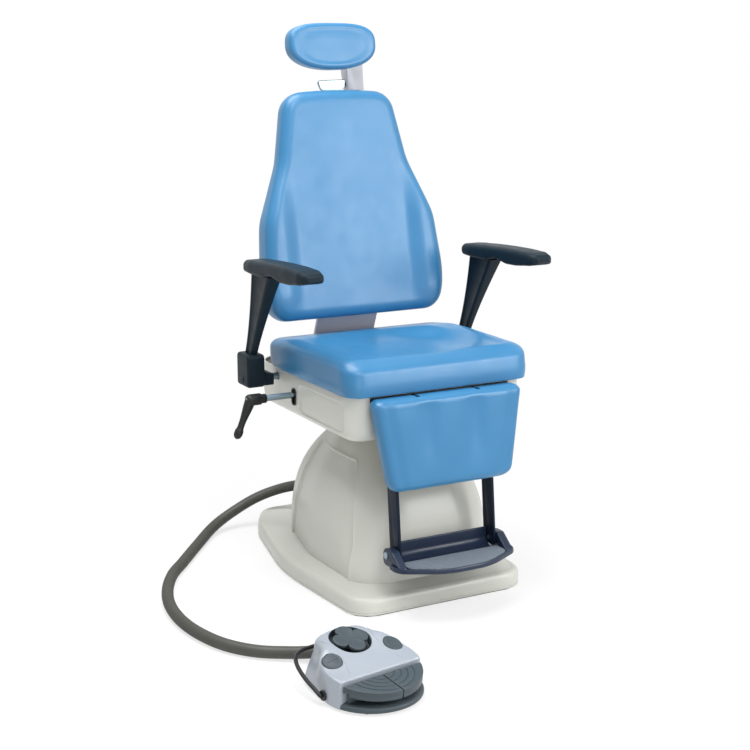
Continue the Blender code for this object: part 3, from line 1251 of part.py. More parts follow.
# Treads: two sector-shaped plates with arc grooves, tipped forward about their axis
tread_axis = Vector((0, TREAD_AXIS_Y, TREAD_AXIS_Z))
TREAD_PLACE = Matrix.Translation(tread_axis) @ Matrix.Rotation(math.radians(TREAD_TILT), 4, "X") @ Matrix.Translation(-tread_axis)
treads = []
tread_helpers = []
for side, tag in ((-1, "right"), (1, "left")):
    outline = [(side * 0.0012, -TREAD_REAR)]
    reach_radius = PEDAL_RADIUS - 0.003
    end = math.asin((TREAD_REAR + DISC_Y) / reach_radius)
    for k in range(13):
        angle = -math.pi / 2 + (math.pi / 2 - end) * k / 12
        outline.append((max(0.0012, reach_radius * math.cos(angle)) * side, DISC_Y + reach_radius * math.sin(angle)))
    tread = prism("pedal_" + tag, outline, "Z", tread_low, tread_low + TREAD_THICKNESS, CONTROL)
    tread.matrix_world = TREAD_PLACE
    for radius in (0.036, 0.050, 0.064):
        groove = turned("tread_groove", [
            (radius + 0.0015, tread_low + TREAD_THICKNESS + 0.004), (radius + 0.0015, tread_low + TREAD_THICKNESS - 0.0015),
            (radius - 0.0015, tread_low + TREAD_THICKNESS - 0.0015), (radius - 0.0015, tread_low + TREAD_THICKNESS + 0.004)],
            steps=28)
        groove.matrix_world = TREAD_PLACE @ Matrix.Translation((0, -TREAD_REAR + 0.012, 0))
        cut(tread, groove)
        tread_helpers.append(groove)
    treads.append(tread)

# Carry bail and its pivots
bail_pivots = []
for side, tag in ((-1, "right"), (1, "left")):
    bail_pivots.append(rod(
        "bail_pivot_" + tag, (side * bail_x, BAIL_Y, bail_z), (side * (bail_x + 0.004), BAIL_Y, bail_z), 0.011, DARK,
        segments=20))
bail_line = [
    (bail_x + 0.0043, BAIL_Y, bail_z), (bail_x + 0.0085, BAIL_Y, bail_z), (bail_x + 0.0115, BAIL_Y + 0.003, bail_z + 0.002),
    (bail_x + 0.0125, BAIL_Y + 0.018, bail_z + 0.006), (bail_x + 0.0120, 0.045, bail_z + 0.016),
    (bail_x + 0.0060, 0.085, bail_z + 0.026), (bail_x - 0.010, 0.113, bail_z + 0.032),
    (bail_x - 0.034, 0.126, bail_z + 0.035), (bail_x - 0.064, 0.129, bail_z + 0.036)]
bail_points = bail_line + [(-x, y, z) for x, y, z in reversed(bail_line)]
carry_bail = tube("carry_bail", [Vector(spot) for spot in bail_points], [BAIL_RADIUS] * len(bail_points), DARK)

# Hose fittings
pedal_gland = turned("pedal_gland", [
    (0.0, 0.020), (0.017, 0.020), (0.019, 0.017), (0.019, 0.0), (0.0, 0.0)], CONTROL, steps=24, closed=False)
gland_face = PEDAL_REAR + GAP
pedal_gland.matrix_world = Matrix.Translation((0, gland_face, GLAND_Z)) @ Matrix.Rotation(math.radians(-90), 4, "X")

settle(pedal_base, pedal_housing, direction_gimbal, direction_pad, carry_bail, pedal_gland, dish_cutter, stalk,
       housing_bed)
settle(*pedal_feet, *ridge_helpers, *buttons, *button_cutters, *treads, *tread_helpers, *bail_pivots)

gland_start = cover_rear_y + 0.0025
hose_gland = turned("hose_gland", [
    (0.0, 0.014), (0.018, 0.014), (0.021, 0.011), (0.021, 0.0), (0.0151, 0.0), (0.0151, -0.022), (0.0, -0.022)],
    CONTROL, steps=20, closed=False)
hose_gland.matrix_world = Matrix.Translation((HOSE_EXIT_X, gland_start, HOSE_EXIT_Z)) @ Matrix.Rotation(
    math.radians(-90), 4, "X")

# Hose: leaves the cover, drops to the floor behind the base and runs round to the foot control
hose_start = Vector((HOSE_EXIT_X, gland_start + 0.014 + GAP, HOSE_EXIT_Z))
hose_end = PEDAL_PLACE @ Vector((0, gland_face + 0.020 + GAP, GLAND_Z))
into_pedal = (PEDAL_PLACE.to_3x3() @ Vector((0, -1, 0))).normalized()
floor_z = HOSE_RADIUS + HOSE_RIB + 0.0008
hose_stations = [
    hose_start, hose_start + Vector((0, 0.017, 0)), hose_start + Vector((0, 0.034, 0)),
    Vector((-0.040, 0.360, 0.122)), Vector((-0.085, 0.420, 0.102)), Vector((-0.150, 0.447, 0.078)),
    Vector((-0.220, 0.453, 0.046)), Vector((-0.290, 0.425, 0.022)), Vector((-0.373, 0.330, floor_z)),
    Vector((-0.457, 0.220, floor_z)), Vector((-0.512, 0.148, floor_z)), Vector((-0.557, 0.061, floor_z)),
    Vector((-0.587, -0.032, floor_z)), Vector((-0.599, -0.130, floor_z)), Vector((-0.592, -0.224, floor_z)),
    Vector((-0.566, -0.312, floor_z)), Vector((-0.520, -0.378, floor_z)),
    Vector((-0.462, -0.424, floor_z + 0.002)), hose_end - into_pedal * 0.034, hose_end - into_pedal * 0.017, hose_end]


def through(points, count):
    """Smooth line through the stations, then evenly spaced points along it."""
    fine = []
    for i in range(len(points) - 1):
        a = points[max(0, i - 1)]
        b = points[i]
        c = points[i + 1]
        d = points[min(len(points) - 1, i + 2)]
        for k in range(24):
            t = k / 24
            fine.append(0.5 * (2 * b + (c - a) * t + (2 * a - 5 * b + 4 * c - d) * t * t
                               + (3 * b - a - 3 * c + d) * t * t * t))
    fine.append(points[-1])
    lengths = [0.0]
    for first, second in zip(fine[:-1], fine[1:]):
        lengths.append(lengths[-1] + (second - first).length)
    result = []
    j = 0
    for k in range(count):
        want = lengths[-1] * k / (count - 1)
        while j < len(fine) - 2 and lengths[j + 1] < want:
            j += 1
        part = (want - lengths[j]) / (lengths[j + 1] - lengths[j])
        result.append(fine[j].lerp(fine[j + 1], part))
    return result, lengths[-1]


hose_points, hose_length = through(hose_stations, HOSE_RIBS * 2 + 1)
hose_radii = [HOSE_RADIUS + (HOSE_RIB if k % 2 else 0.0) for k in range(len(hose_points))]
foot_hose = tube("foot_hose", hose_points, hose_radii, CONDUIT)
bore_points, bore_length = through(hose_stations, 44)
bore_points[0] = bore_points[0] + (bore_points[0] - bore_points[1]).normalized() * 0.01
bore_points[-1] = bore_points[-1] + (bore_points[-1] - bore_points[-2]).normalized() * 0.01
hose_bore = tube("hose_bore", bore_points, [HOSE_BORE] * len(bore_points), None, 1)
cut(foot_hose, hose_bore)
nearest = 1.0
for i, first in enumerate(hose_points):
    for second in hose_points[i + 24:]:
        nearest = min(nearest, (first - second).length)
print("hose length m", round(hose_length, 3), "least gap to itself mm",
      round((nearest - 2 * (HOSE_RADIUS + HOSE_RIB)) * 1000, 2))

# Joint centres
pivot("lift_axis", (0, 0, LIFT_TOP), lift_column, lift_rod)
pivot("swivel_axis", (0, 0, LIFT_TOP), swivel_plate, seat_frame, seat_shell, seat_pan, seat_cushion,
      back_hinge_pin, back_drive)
pivot("back_axis", (0, HINGE_Y, HINGE_Z), back_bracket, back_panel, back_cushion, headrest_guide)
pivot("stem_axis", STEM_AXIS, headrest_stem, headrest_bracket, headrest_stem_pin, headrest_lever)
pivot("head_axis", HEAD_AXIS, headrest_plate, headrest_cushion, headrest_pin)
pivot("leg_axis", LEG_AXIS, legrest_board, legrest_cushion, *legrest_pins, *footrest_bars)
pivot("tray_axis", TRAY_AXIS, footrest_tray, footrest_mat, *footrest_pins)
for tag, side in (("right", -1), ("left", 1)):
    pivot("arm_axis_" + tag, (side * ARM_X, ARM_Y, ARM_Z), *arms[tag])
pivot("lock_axis", (-LOCK_REACH, LOCK_Y, LOCK_Z), lock_rod, lock_lever)
print("axes", [round(v, 5) for v in (*STEM_AXIS, *HEAD_AXIS, *TRAY_AXIS)])
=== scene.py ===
from bisect import bisect_left
from math import asin, atan, copysign, cos, dist, exp, hypot, pi, radians, sin, sqrt, tan, tau

import bmesh
import bpy
from mathutils import Matrix, Vector, noise


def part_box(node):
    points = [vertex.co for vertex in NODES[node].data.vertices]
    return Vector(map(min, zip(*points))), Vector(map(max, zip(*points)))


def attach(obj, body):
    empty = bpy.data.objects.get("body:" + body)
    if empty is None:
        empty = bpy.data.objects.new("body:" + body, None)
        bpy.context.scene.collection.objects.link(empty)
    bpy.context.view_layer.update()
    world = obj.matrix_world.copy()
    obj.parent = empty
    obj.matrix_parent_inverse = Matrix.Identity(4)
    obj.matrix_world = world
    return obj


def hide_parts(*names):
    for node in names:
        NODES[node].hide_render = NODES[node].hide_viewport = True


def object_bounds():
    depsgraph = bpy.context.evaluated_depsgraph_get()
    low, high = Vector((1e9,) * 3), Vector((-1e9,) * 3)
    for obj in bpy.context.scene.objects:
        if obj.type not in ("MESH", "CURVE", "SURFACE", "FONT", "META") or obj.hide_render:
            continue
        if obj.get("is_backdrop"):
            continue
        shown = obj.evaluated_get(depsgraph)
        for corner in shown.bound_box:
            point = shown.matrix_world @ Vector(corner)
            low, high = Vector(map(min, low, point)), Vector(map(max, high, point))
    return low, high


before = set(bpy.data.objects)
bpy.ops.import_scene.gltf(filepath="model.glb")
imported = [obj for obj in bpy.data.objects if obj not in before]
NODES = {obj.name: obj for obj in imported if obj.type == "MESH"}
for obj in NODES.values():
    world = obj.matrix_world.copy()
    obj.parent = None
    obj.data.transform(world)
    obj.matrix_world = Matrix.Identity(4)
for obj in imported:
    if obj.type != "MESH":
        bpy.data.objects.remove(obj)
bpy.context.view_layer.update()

SIDES = ((-1, "right"), (1, "left"))
scene = bpy.context.scene
scene.view_settings.view_transform = "Standard"


def placed(name, data):
    obj = bpy.data.objects.new(name, data)
    scene.collection.objects.link(obj)
    return obj


# Camera, at the photograph's viewpoint
camera = scene.camera = placed("camera", bpy.data.cameras.new("camera"))
camera.location = (-1.695, -3.102, 1.292)
camera.rotation_euler = (radians(90 - 13.16), 0.0, radians(-28.69))
camera.data.sensor_width = 36.0
camera.data.lens = 70.6
camera.data.shift_x = -0.0131
camera.data.shift_y = 0.0145


# ---- numbers and outlines
def mm(*rows):
    """Rows of millimetres, as metres."""
    return [tuple(value * 0.001 for value in row) for row in rows]


def smooth(value, low, high):
    """0 to 1 on an S-curve as a value goes from low to high."""
    share = min(1.0, max(0.0, (value - low) / (high - low)))
    return share * share * (3 - 2 * share)


def hump(value, middle, width):
    """1 at the middle, falling to 0 on both sides."""
    return exp(-((value - middle) / width) ** 2)


def spread(low, high, count):
    return [low + (high - low) * k / (count - 1) for k in range(count)]


def between(first, second, part):
    """Point that lies a share of the way from one point to another."""
    return tuple(a + (b - a) * part for a, b in zip(first, second))


def marks_of(points):
    """Length along a line at each of its points."""
    marks = [0.0]
    for a, b in zip(points[:-1], points[1:]):
        marks.append(marks[-1] + dist(a, b))
    return marks


def span_at(marks, want):
    """Which stretch of a line a length falls on, and the share of the way along it."""
    i = min(max(bisect_left(marks, want) - 1, 0), len(marks) - 2)
    return i, (want - marks[i]) / max(1e-9, marks[i + 1] - marks[i])


def quarter(steps):
    """Sines and cosines of even steps through a right angle."""
    angles = [pi / 2 * k / steps for k in range(steps + 1)]
    return [(sin(angle), cos(angle)) for angle in angles]


def rounded(corners, steps=8):
    """Round each corner (x, y, radius) of a closed polygon."""
    points = []
    for i, (x, y, radius) in enumerate(corners):
        here = Vector((x, y))
        back = (Vector(corners[i - 1][:2]) - here).normalized()
        ahead = (Vector(corners[(i + 1) % len(corners)][:2]) - here).normalized()
        half = back.angle(ahead) / 2
        centre = here + (back + ahead).normalized() * (radius / sin(half))
        first = here + back * (radius / tan(half)) - centre
        sweep = pi - 2 * half
        if back.x * ahead.y - back.y * ahead.x > 0:
            sweep = -sweep
        for k in range(steps + 1):
            spot = centre + Matrix.Rotation(sweep * k / steps, 2) @ first
            points.append((spot.x, spot.y))
    return points


def rect(a0, b0, a1, b1, radius=0.0, steps=8):
    """Rectangle between two opposite corners, rounded where it has a radius."""
    corners = [(a0, b0), (a1, b0), (a1, b1), (a0, b1)]
    return rounded([(a, b, radius) for a, b in corners], steps) if radius else corners


def mirrored(corners):
    return corners + [(-x, y, radius) for x, y, radius in reversed(corners)]


def even(outline, count):
    """The same closed outline with points at equal spacing."""
    closed = list(outline) + [outline[0]]
    marks = marks_of(closed)
    points = []
    for k in range(count):
        i, part = span_at(marks, marks[-1] * k / count)
        points.append(between(closed[i], closed[i + 1], part))
    return points


def inset(outline, distance):
    """Outline moved inwards, point by point."""
    moved = []
    for i, (x, y) in enumerate(outline):
        along = (Vector(outline[(i + 1) % len(outline)]) - Vector(outline[i - 1])).normalized()
        moved.append((x - along.y * distance, y + along.x * distance))
    return moved


def level(outline, z):
    return [(x, y, z) for x, y in outline]


def stacked(outline_at, *rows):
    """Level rings of an outline, each drawn in by a distance at a height, in millimetres."""
    return [level(outline_at(distance), z) for distance, z in mm(*rows)]


def circle(radius, count, middle=(0.0, 0.0)):
    return [(middle[0] + radius * cos(tau * k / count),
             middle[1] + radius * sin(tau * k / count)) for k in range(count)]


def to_radius(ring, radius, z):
    """Points of a ring moved along their bearings to a circle."""
    return [(x / hypot(x, y) * radius, y / hypot(x, y) * radius, z) for x, y, _ in ring]


def at_bearings(outline, like):
    """Points of an outline round the origin, one at the bearing of each point of another."""
    points = []
    for x, y in like:
        reach = 0.0
        for first, second in zip(outline, outline[1:] + outline[:1]):
            run, rise = second[0] - first[0], second[1] - first[1]
            turn = x * rise - y * run
            if abs(turn) < 1e-12:
                continue
            part = (first[0] * y - first[1] * x) / turn
            along = (first[0] * rise - first[1] * run) / turn
            if along > 0 and -1e-9 <= part <= 1 + 1e-9:
                reach = max(reach, along)
        points.append((x * reach, y * reach))
    return points


def through(stations, count):
    """Smooth line through the stations, with evenly spaced points along it."""
    points = [Vector(p) for p in stations]
    fine = []
    for i in range(len(points) - 1):
        a, b = points[max(0, i - 1)], points[i]
        c, d = points[i + 1], points[min(len(points) - 1, i + 2)]
        for k in range(24):
            t = k / 24
            fine.append(0.5 * (2 * b + (c - a) * t + (2 * a - 5 * b + 4 * c - d) * t * t
                               + (3 * b - a - 3 * c + d) * t * t * t))
    fine.append(points[-1])
    marks = marks_of(fine)
    result = []
    for want in spread(0.0, marks[-1], count):
        i, part = span_at(marks, want)
        result.append(fine[i].lerp(fine[i + 1], part))
    return result, marks[-1]


# ---- meshes
def skin(rings, closed=False, bm=None):
    """Faces between rings of equally many points, with flat ends unless the rings close on themselves."""
    bm = bmesh.new() if bm is None else bm
    rows = [[bm.verts.new(spot) for spot in ring] for ring in rings]
    for first, second in zip(rows, rows[1:] + rows[:1] if closed else rows[1:]):
        for i in range(len(first)):
            j = (i + 1) % len(first)
            bm.faces.new((first[i], first[j], second[j], second[i]))
    if not closed:
        bm.faces.new(rows[0])
        bm.faces.new(rows[-1])
    return bm


def prism(outline, axis, low, high, edge=0.0, steps=3, bm=None):
    """Extruded outline with its two rims rounded by edge."""
    def point(pair, depth):
        a, b = pair
        return {"X": (depth, a, b), "Y": (a, depth, b), "Z": (a, b, depth)}[axis]

    low, high = sorted((low, high))
    area = sum(a[0] * b[1] - b[0] * a[1] for a, b in zip(outline, outline[1:] + outline[:1]))
    if area < 0:
        outline = outline[::-1]
    rows = [(0.0, low), (0.0, high)]
    if edge > 0:
        rows = [(edge * (1 - sine), low + edge * (1 - cosine)) for sine, cosine in quarter(steps)]
        rows += [(distance, high - (depth - low)) for distance, depth in reversed(rows)]
    return skin([[point(pair, depth) for pair in inset(outline, distance)] for distance, depth in rows], bm=bm)


def turned(profile, place, steps, bm=None):
    """Profile of (radius, height) turned about Z; ends that reach the axis close to a point."""
    return skin([[place @ Vector(spot) for spot in level(circle(max(radius, 0.00002), steps), height)]
                 for radius, height in profile], bm=bm)


def pipe(points, radii, sides, flat=1.0, bm=None):
    """Sweep a round or flattened section along points."""
    points = [Vector(p) for p in points]
    side = None
    rings = []
    for i, here in enumerate(points):
        along = (points[min(i + 1, len(points) - 1)] - points[max(i - 1, 0)]).normalized()
        if side is None:
            side = along.cross(Vector((0, 0, 1)))
            side = side.normalized() if side.length > 0.01 else along.orthogonal().normalized()
        side = (side - along * side.dot(along)).normalized()
        other = along.cross(side)
        radius = radii[i] if hasattr(radii, "__len__") else radii
        rings.append([here + side * (flat * a) + other * b for a, b in circle(radius, sides)])
    return skin(rings, bm=bm)


def shade(mesh, sharp=32.0):
    for polygon in mesh.polygons:
        polygon.use_smooth = True
    mesh.set_sharp_from_angle(angle=radians(sharp))


def piece(name, bm, sharp=32.0, place=None):
    """Object made from a mesh, smooth except along edges over the sharp angle."""
    bmesh.ops.recalc_face_normals(bm, faces=bm.faces)
    mesh = bpy.data.meshes.new(name)
    bm.to_mesh(mesh)
    bm.free()
    if place is not None:
        mesh.transform(place)
    shade(mesh, sharp)
    return placed(name, mesh)


def carved(bm, *solids):
    """The mesh with solids cut out of it."""
    obj = piece("carved", bm)
    for solid in solids:
        mod = obj.modifiers.new("cut", "BOOLEAN")
        mod.operation = "DIFFERENCE"
        mod.solver = "EXACT"
        mod.object = piece("cutter", solid)
    bpy.context.view_layer.update()
    result = bmesh.new()
    result.from_object(obj, bpy.context.evaluated_depsgraph_get())
    for used in [mod.object for mod in obj.modifiers] + [obj]:
        bpy.data.objects.remove(used)
    return result


def soften(obj, width, segments, angle):
    """Round off the edges over an angle."""
    mod = obj.modifiers.new("edges", "BEVEL")
    mod.width = width
    mod.segments = segments
    mod.limit_method = "ANGLE"
    mod.angle_limit = radians(angle)
    mod.harden_normals = True


# ---- materials
class Wiring:
    """Short ways to add nodes to the node tree of a material or world."""

    def __init__(self, owner):
        owner.use_nodes = True
        self.nodes, self.links = owner.node_tree.nodes, owner.node_tree.links

    def put(self, node, inputs):
        """Set each input to a value, or link it where the value is another node's output."""
        for name, value in inputs.items():
            if isinstance(value, bpy.types.NodeSocket):
                self.links.new(value, node.inputs[name])
            else:
                node.inputs[name].default_value = value

    def add(self, kind, output, inputs, **settings):
        """Add a node and give one of its outputs."""
        node = self.nodes.new("ShaderNode" + kind)
        for name, value in settings.items():
            setattr(node, name, value)
        self.put(node, inputs)
        return node.outputs[output]

    def remap(self, value, from_low, from_high, to_low, to_high, **settings):
        return self.add("MapRange", "Result", {"Value": value, "From Min": from_low, "From Max": from_high,
                                               "To Min": to_low, "To Max": to_high}, **settings)

    def viewed(self):
        """1 for the rays that show what is behind the part, 0 for those that light it."""
        paths = self.nodes.new("ShaderNodeLightPath").outputs
        seen = paths["Is Camera Ray"]
        for name in ("Is Glossy Ray", "Is Transmission Ray"):
            seen = self.add("Math", 0, {0: seen, 1: paths[name]}, operation="MAXIMUM")
        return seen


def look(name, colour, rough, metal=0.0, grain=1000.0, bump=0.08, depth=0.0004, mottle=14.0, vary=0.1,
         rough_vary=0.05, coat=0.0, coat_rough=0.12, worn=0.0, cells=False, stretch=None, specular=0.5):
    """Moulded, painted or plated finish: slow colour drift, uneven gloss, fine grain and rubbed edges."""
    mat = bpy.data.materials.new(name)
    wiring = Wiring(mat)
    add, remap = wiring.add, wiring.remap
    place = fine_place = add("TexCoord", "Object", {})
    if stretch is not None:
        fine_place = add("Mapping", "Vector", {"Vector": place, "Scale": stretch})

    def cloud(scale, detail, source):
        return add("TexNoise", "Fac", {"Scale": scale, "Detail": detail, "Vector": source})

    def blend(factor, first, second):
        return add("Mix", 2, {"Factor": factor, 6: first, 7: second}, data_type="RGBA")

    def tint(share, lift=0.0):
        return (*(min(1.0, c * share + lift) for c in colour), 1.0)

    tone = blend(cloud(mottle, 3.0, place), tint(1 - vary), tint(1 + vary))
    speck = remap(cloud(grain * 0.35, 4.0, fine_place), 0.6, 0.8, 0.0, 0.35)
    tone = blend(speck, tone, tint(1 - vary * 1.6))
    if worn > 0:
        ridge = add("NewGeometry", "Pointiness", {})
        tone = blend(remap(ridge, 0.53, 0.62, 0.0, worn), tone, tint(1.5, 0.05))
    gloss = remap(cloud(mottle * 2.3, 5.0, place), 0.3, 0.7, max(0.03, rough - rough_vary), rough + rough_vary)
    if cells:
        height = add("TexVoronoi", "Distance", {"Scale": grain, "Vector": fine_place})
    else:
        height = cloud(grain, 3.0, fine_place)
    relief = add("Bump", "Normal", {"Strength": bump, "Distance": depth, "Height": height})
    wiring.put(wiring.nodes["Principled BSDF"], {
        "Base Color": tone, "Roughness": gloss, "Normal": relief, "Metallic": metal, "Specular IOR Level": specular,
        "Coat Weight": coat, "Coat Roughness": coat_rough})
    return mat


VINYL = look("blue_vinyl", (0.034, 0.188, 0.382), 0.36, grain=900.0, bump=0.06, depth=0.0003, mottle=9.0,
             vary=0.06, coat=0.12, coat_rough=0.25, cells=True, specular=0.42)
CREAM = look("cream_moulding", (0.612, 0.616, 0.563), 0.36, grain=700.0, bump=0.03, mottle=6.0,
             vary=0.02, rough_vary=0.02, coat=0.25, coat_rough=0.22, specular=0.3)
SLATE = look("slate_moulding", (0.008, 0.017, 0.025), 0.46, grain=1200.0, bump=0.22, depth=0.0003,
             worn=0.1, cells=True, specular=0.13)
ZINC = look("zinc_plate", (0.3, 0.38, 0.44), 0.3, metal=1.0, grain=300.0, bump=0.1,
            stretch=(0.05, 1.0, 1.0))
CHROME = look("chrome", (0.46, 0.47, 0.49), 0.16, metal=1.0, grain=200.0, bump=0.05)
BLACK = look("black_plastic", (0.008, 0.009, 0.01), 0.38, grain=1100.0, bump=0.15, vary=0.2,
             worn=0.1, specular=0.35)
DARK = look("dark_paint", (0.024, 0.026, 0.03), 0.5, grain=800.0, bump=0.15, vary=0.15, worn=0.15,
            specular=0.35)
GREY = look("grey_paint", (0.6, 0.6, 0.67), 0.36, metal=0.1, bump=0.1, vary=0.06, worn=0.12)
PALE = look("pale_grey_paint", (0.6, 0.6, 0.63), 0.34, vary=0.05)
NAVY = look("navy_paint", (0.009, 0.016, 0.034), 0.34, bump=0.12, coat=0.04, worn=0.08, specular=0.1)
TRAY = look("tray_paint", (0.017, 0.028, 0.056), 0.32, bump=0.12, coat=0.12, worn=0.08, specular=0.25)
RUBBER = look("grey_rubber", (0.155, 0.186, 0.226), 0.62, grain=1500.0, bump=0.3,
              cells=True, specular=0.3)
SILVER = look("silver_moulding", (0.345, 0.383, 0.432), 0.33, grain=1400.0, mottle=20.0, vary=0.04,
              coat=0.12)
CONTROL = look("control_plastic", (0.05, 0.068, 0.08), 0.46, grain=1500.0, bump=0.22,
               worn=0.15, cells=True, specular=0.35)
CONDUIT = look("ribbed_conduit", (0.06, 0.06, 0.051), 0.5, grain=900.0, bump=0.15, vary=0.12, worn=0.35)


def paint(mesh, material):
    mesh.materials.clear()
    mesh.materials.append(material)


def dress(obj, body, material, *nodes):
    """Put a piece on its body in its finish, in the place of any CAD nodes that it stands for."""
    paint(obj.data, material)
    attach(obj, body)
    if nodes:
        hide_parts(*nodes)
    return obj


def fit(name, bm, body, material, *nodes, **shading):
    """Make a piece and dress it."""
    return dress(piece(name, bm, **shading), body, material, *nodes)


# ---- hose, from the column cover to the foot control
PEDAL_PLACE = Matrix.Translation((-0.392, -0.623, 0.0)) @ Matrix.Rotation(radians(9.0), 4, "Z")
COVER_FOOT, COVER_TOP = 0.0583, 0.375
GLAND_Z, GLAND_SEAT, GLAND_REACH = 0.13, 0.0025, 0.0143
LIE = 15  # height of the hose's middle on the floor, in millimetres
RIBS, RIB_R, VALLEY_R = 380, 0.0142, 0.0131


def cover_outline(z, distance=0.0):
    """Outline of the column cover at a height, drawn in by a distance."""
    up = (z - COVER_FOOT) / (COVER_TOP - COVER_FOOT)
    size = 1.0 - 0.03 * up - 0.556 * up ** 3
    front_corner = (0.085 + 0.06 * smooth(up, 0.0, 0.3)) * size
    return rounded(mirrored([
        (0.201 * size - distance, -0.255 * size + distance, front_corner),
        (0.207 * size - distance, 0.02, 0.22),
        (0.15 * size - distance, 0.252 * size - distance, 0.065 * size)]), 16)


gland_y = max(y for x, y in cover_outline(GLAND_Z)) + GLAND_SEAT
hose_start = Vector((-0.03, gland_y + GLAND_REACH, GLAND_Z))
hose_end = PEDAL_PLACE @ Vector((0, 0.1326, 0.0215))
into = (PEDAL_PLACE.to_3x3() @ Vector((0, -1, 0))).normalized()
hose_route = [
    hose_start, hose_start + Vector((0, 0.017, 0)), hose_start + Vector((0, 0.034, 0)),
    *mm((-40, 360, 122), (-85, 420, 102), (-150, 447, 78), (-220, 453, 46), (-290, 425, 22), (-373, 330, LIE),
        (-457, 220, LIE), (-512, 148, LIE), (-557, 61, LIE), (-587, -32, LIE), (-599, -130, LIE), (-592, -224, LIE),
        (-566, -312, LIE), (-520, -378, LIE), (-462, -424, LIE + 2)),
    hose_end - into * 0.034, hose_end - into * 0.017, hose_end]
hose_points, hose_length = through(hose_route, RIBS * 2 + 1)
hose_path, _ = through(hose_route, 160)
hose_radii = [RIB_R if k % 2 else VALLEY_R for k in range(len(hose_points))]
hose = fit("foot_hose_ribbed", pipe(hose_points, hose_radii, 20), "base", CONDUIT, "foot_hose", sharp=180)


# ---- base and column cover
def base_outline(distance=0.0):
    return rounded(mirrored([
        (0.232 - distance, -0.3 + distance, 0.06 - distance), (0.257 - distance, 0.06, 0.6),
        (0.19155 - distance, 0.361, 0.3), (0.138 - distance, 0.456 - distance, 0.06 - distance)]), 18)


BASE_RIM, BASE_TOP = 0.0437, 0.0575
rings = stacked(
    base_outline, (5, 3), (0.8, 3.2), (0, 4.5), (0, 7.5), (1.2, 8.2), (1.2, 9.2), (0, 10), (0, 18), (0.2, 26.4),
    (0.8, 31), (2.4, 36.2), (5, 40), (8.5, 42.4), (12, 43.6), (14.5, 44.1), (15.5, 44.05), (16.5, 43.7))
rim = base_outline(0.0165)
foot = at_bearings(cover_outline(COVER_FOOT, -0.003), base_outline())
for share in (0.03, 0.1, 0.25, 0.45, 0.65, 0.82, 0.93, 1.0):
    z = BASE_RIM + (BASE_TOP - BASE_RIM) * share ** 1.25
    rings.append(level([between(a, b, share) for a, b in zip(rim, foot)], z))
inner = at_bearings(cover_outline(COVER_FOOT, 0.012), base_outline())
rings += [level(inner, BASE_TOP), level(inner, 0.053)] + stacked(base_outline, (20.5, 39), (7.5, 34), (5, 27))
fit("base_skirt_moulded", skin(rings, closed=True), "base", CREAM, "base_skirt", sharp=50)


def panelled(outline, z, front_y, rear_y, low, high, corner, deep, lip):
    """Ring of a moulding with a sunk panel on each side, its points gathered along the panel's borders."""
    half = [(0.0, outline[0][1])] + outline[:len(outline) // 2] + [(0.0, outline[len(outline) // 2 - 1][1])]
    marks = marks_of(half)

    def mark_at(y):
        for i in range(1, len(half) - 2):
            if half[i][1] <= y < half[i + 1][1] and half[i][0] > 0.02:
                return marks[i] + (marks[i + 1] - marks[i]) * (y - half[i][1]) / (half[i + 1][1] - half[i][1])
        return marks[-1] * 0.5

    front, rear = mark_at(front_y), mark_at(rear_y)
    near = (-0.0062, -0.0038, -0.0022, -0.0012, -0.0005, 0.0005, 0.0012, 0.0022, 0.0038, 0.0062)
    wanted = spread(0.0, front - 0.012, 24) + [front + d for d in near] + spread(front + 0.01, rear - 0.01, 34)
    wanted += [rear + d for d in near] + spread(rear + 0.012, marks[-1], 20)
    side = []
    for want in wanted:
        i, part = span_at(marks, want)
        a, b = half[i], half[i + 1]
        spot = Vector(between(a, b, part))
        pulls = [max(0.0, corner - gap) for gap in (want - front, rear - want, high - z, z - low)]
        gap = corner - sqrt(sum(pull * pull for pull in pulls))
        sunk = deep * smooth(gap, -0.0012, 0.0022) - lip * hump(gap, -0.0026, 0.0028)
        out = Vector((b[1] - a[1], -(b[0] - a[0])))
        out = out.normalized() if out.length > 1e-9 else Vector((0, 0))
        spot -= out * sunk
        side.append((spot.x, spot.y, z))
    return side + [(-x, y, z) for x, y, z in reversed(side[1:-1])]


def cover_ring(z):
    up = (z - 0.06) / 0.25
    front_y = -0.191 + 0.035 * up + 0.044 * max(0.0, up) ** 4
    return panelled(cover_outline(z), z, front_y, 0.19 - 0.07 * up, low=-1.0, high=0.318, corner=0.006, deep=0.004,
                    lip=0.0022)


heights = [0.057, COVER_FOOT, 0.06] + spread(0.07, 0.3, 28)
heights += [0.307, 0.3115, 0.314, 0.3155, 0.3167, 0.3177, 0.3187, 0.3198, 0.3212, 0.323, 0.326, 0.331, 0.338, 0.345]
rings = [cover_ring(z) for z in heights]


def add_cover_rings(*rows):
    """Plain rings drawn in by a distance, at the bearings of the ring before them."""
    for distance, z in mm(*rows):
        outline = even(cover_outline(z, distance), 400)
        rings.append(level(at_bearings(outline, [spot[:2] for spot in rings[-1]]), z))


NECK_R = 0.0741
add_cover_rings((0.4, 351.5), (1, 357.5), (1.8, 363), (2.8, 367.5), (4, 370.5), (5.2, 373), (6.4, 374.5), (7.8, 375))
rings += [to_radius(rings[-1], NECK_R, COVER_TOP), to_radius(rings[-1], NECK_R, 0.362)]
add_cover_rings((14, 360), (8.5, 345), (8.5, 318), (8.5, 250), (8.5, 180), (8.5, 110), (8.5, 57))
fit("column_cover_moulded", skin(rings, closed=True), "base", CREAM, "column_cover", sharp=60)


# ---- seat shell
SHELL_FLOOR, SHELL_RIM, SHELL_WALL, SHELL_HOLE_R = 0.405, 0.515, 0.005, 0.0881


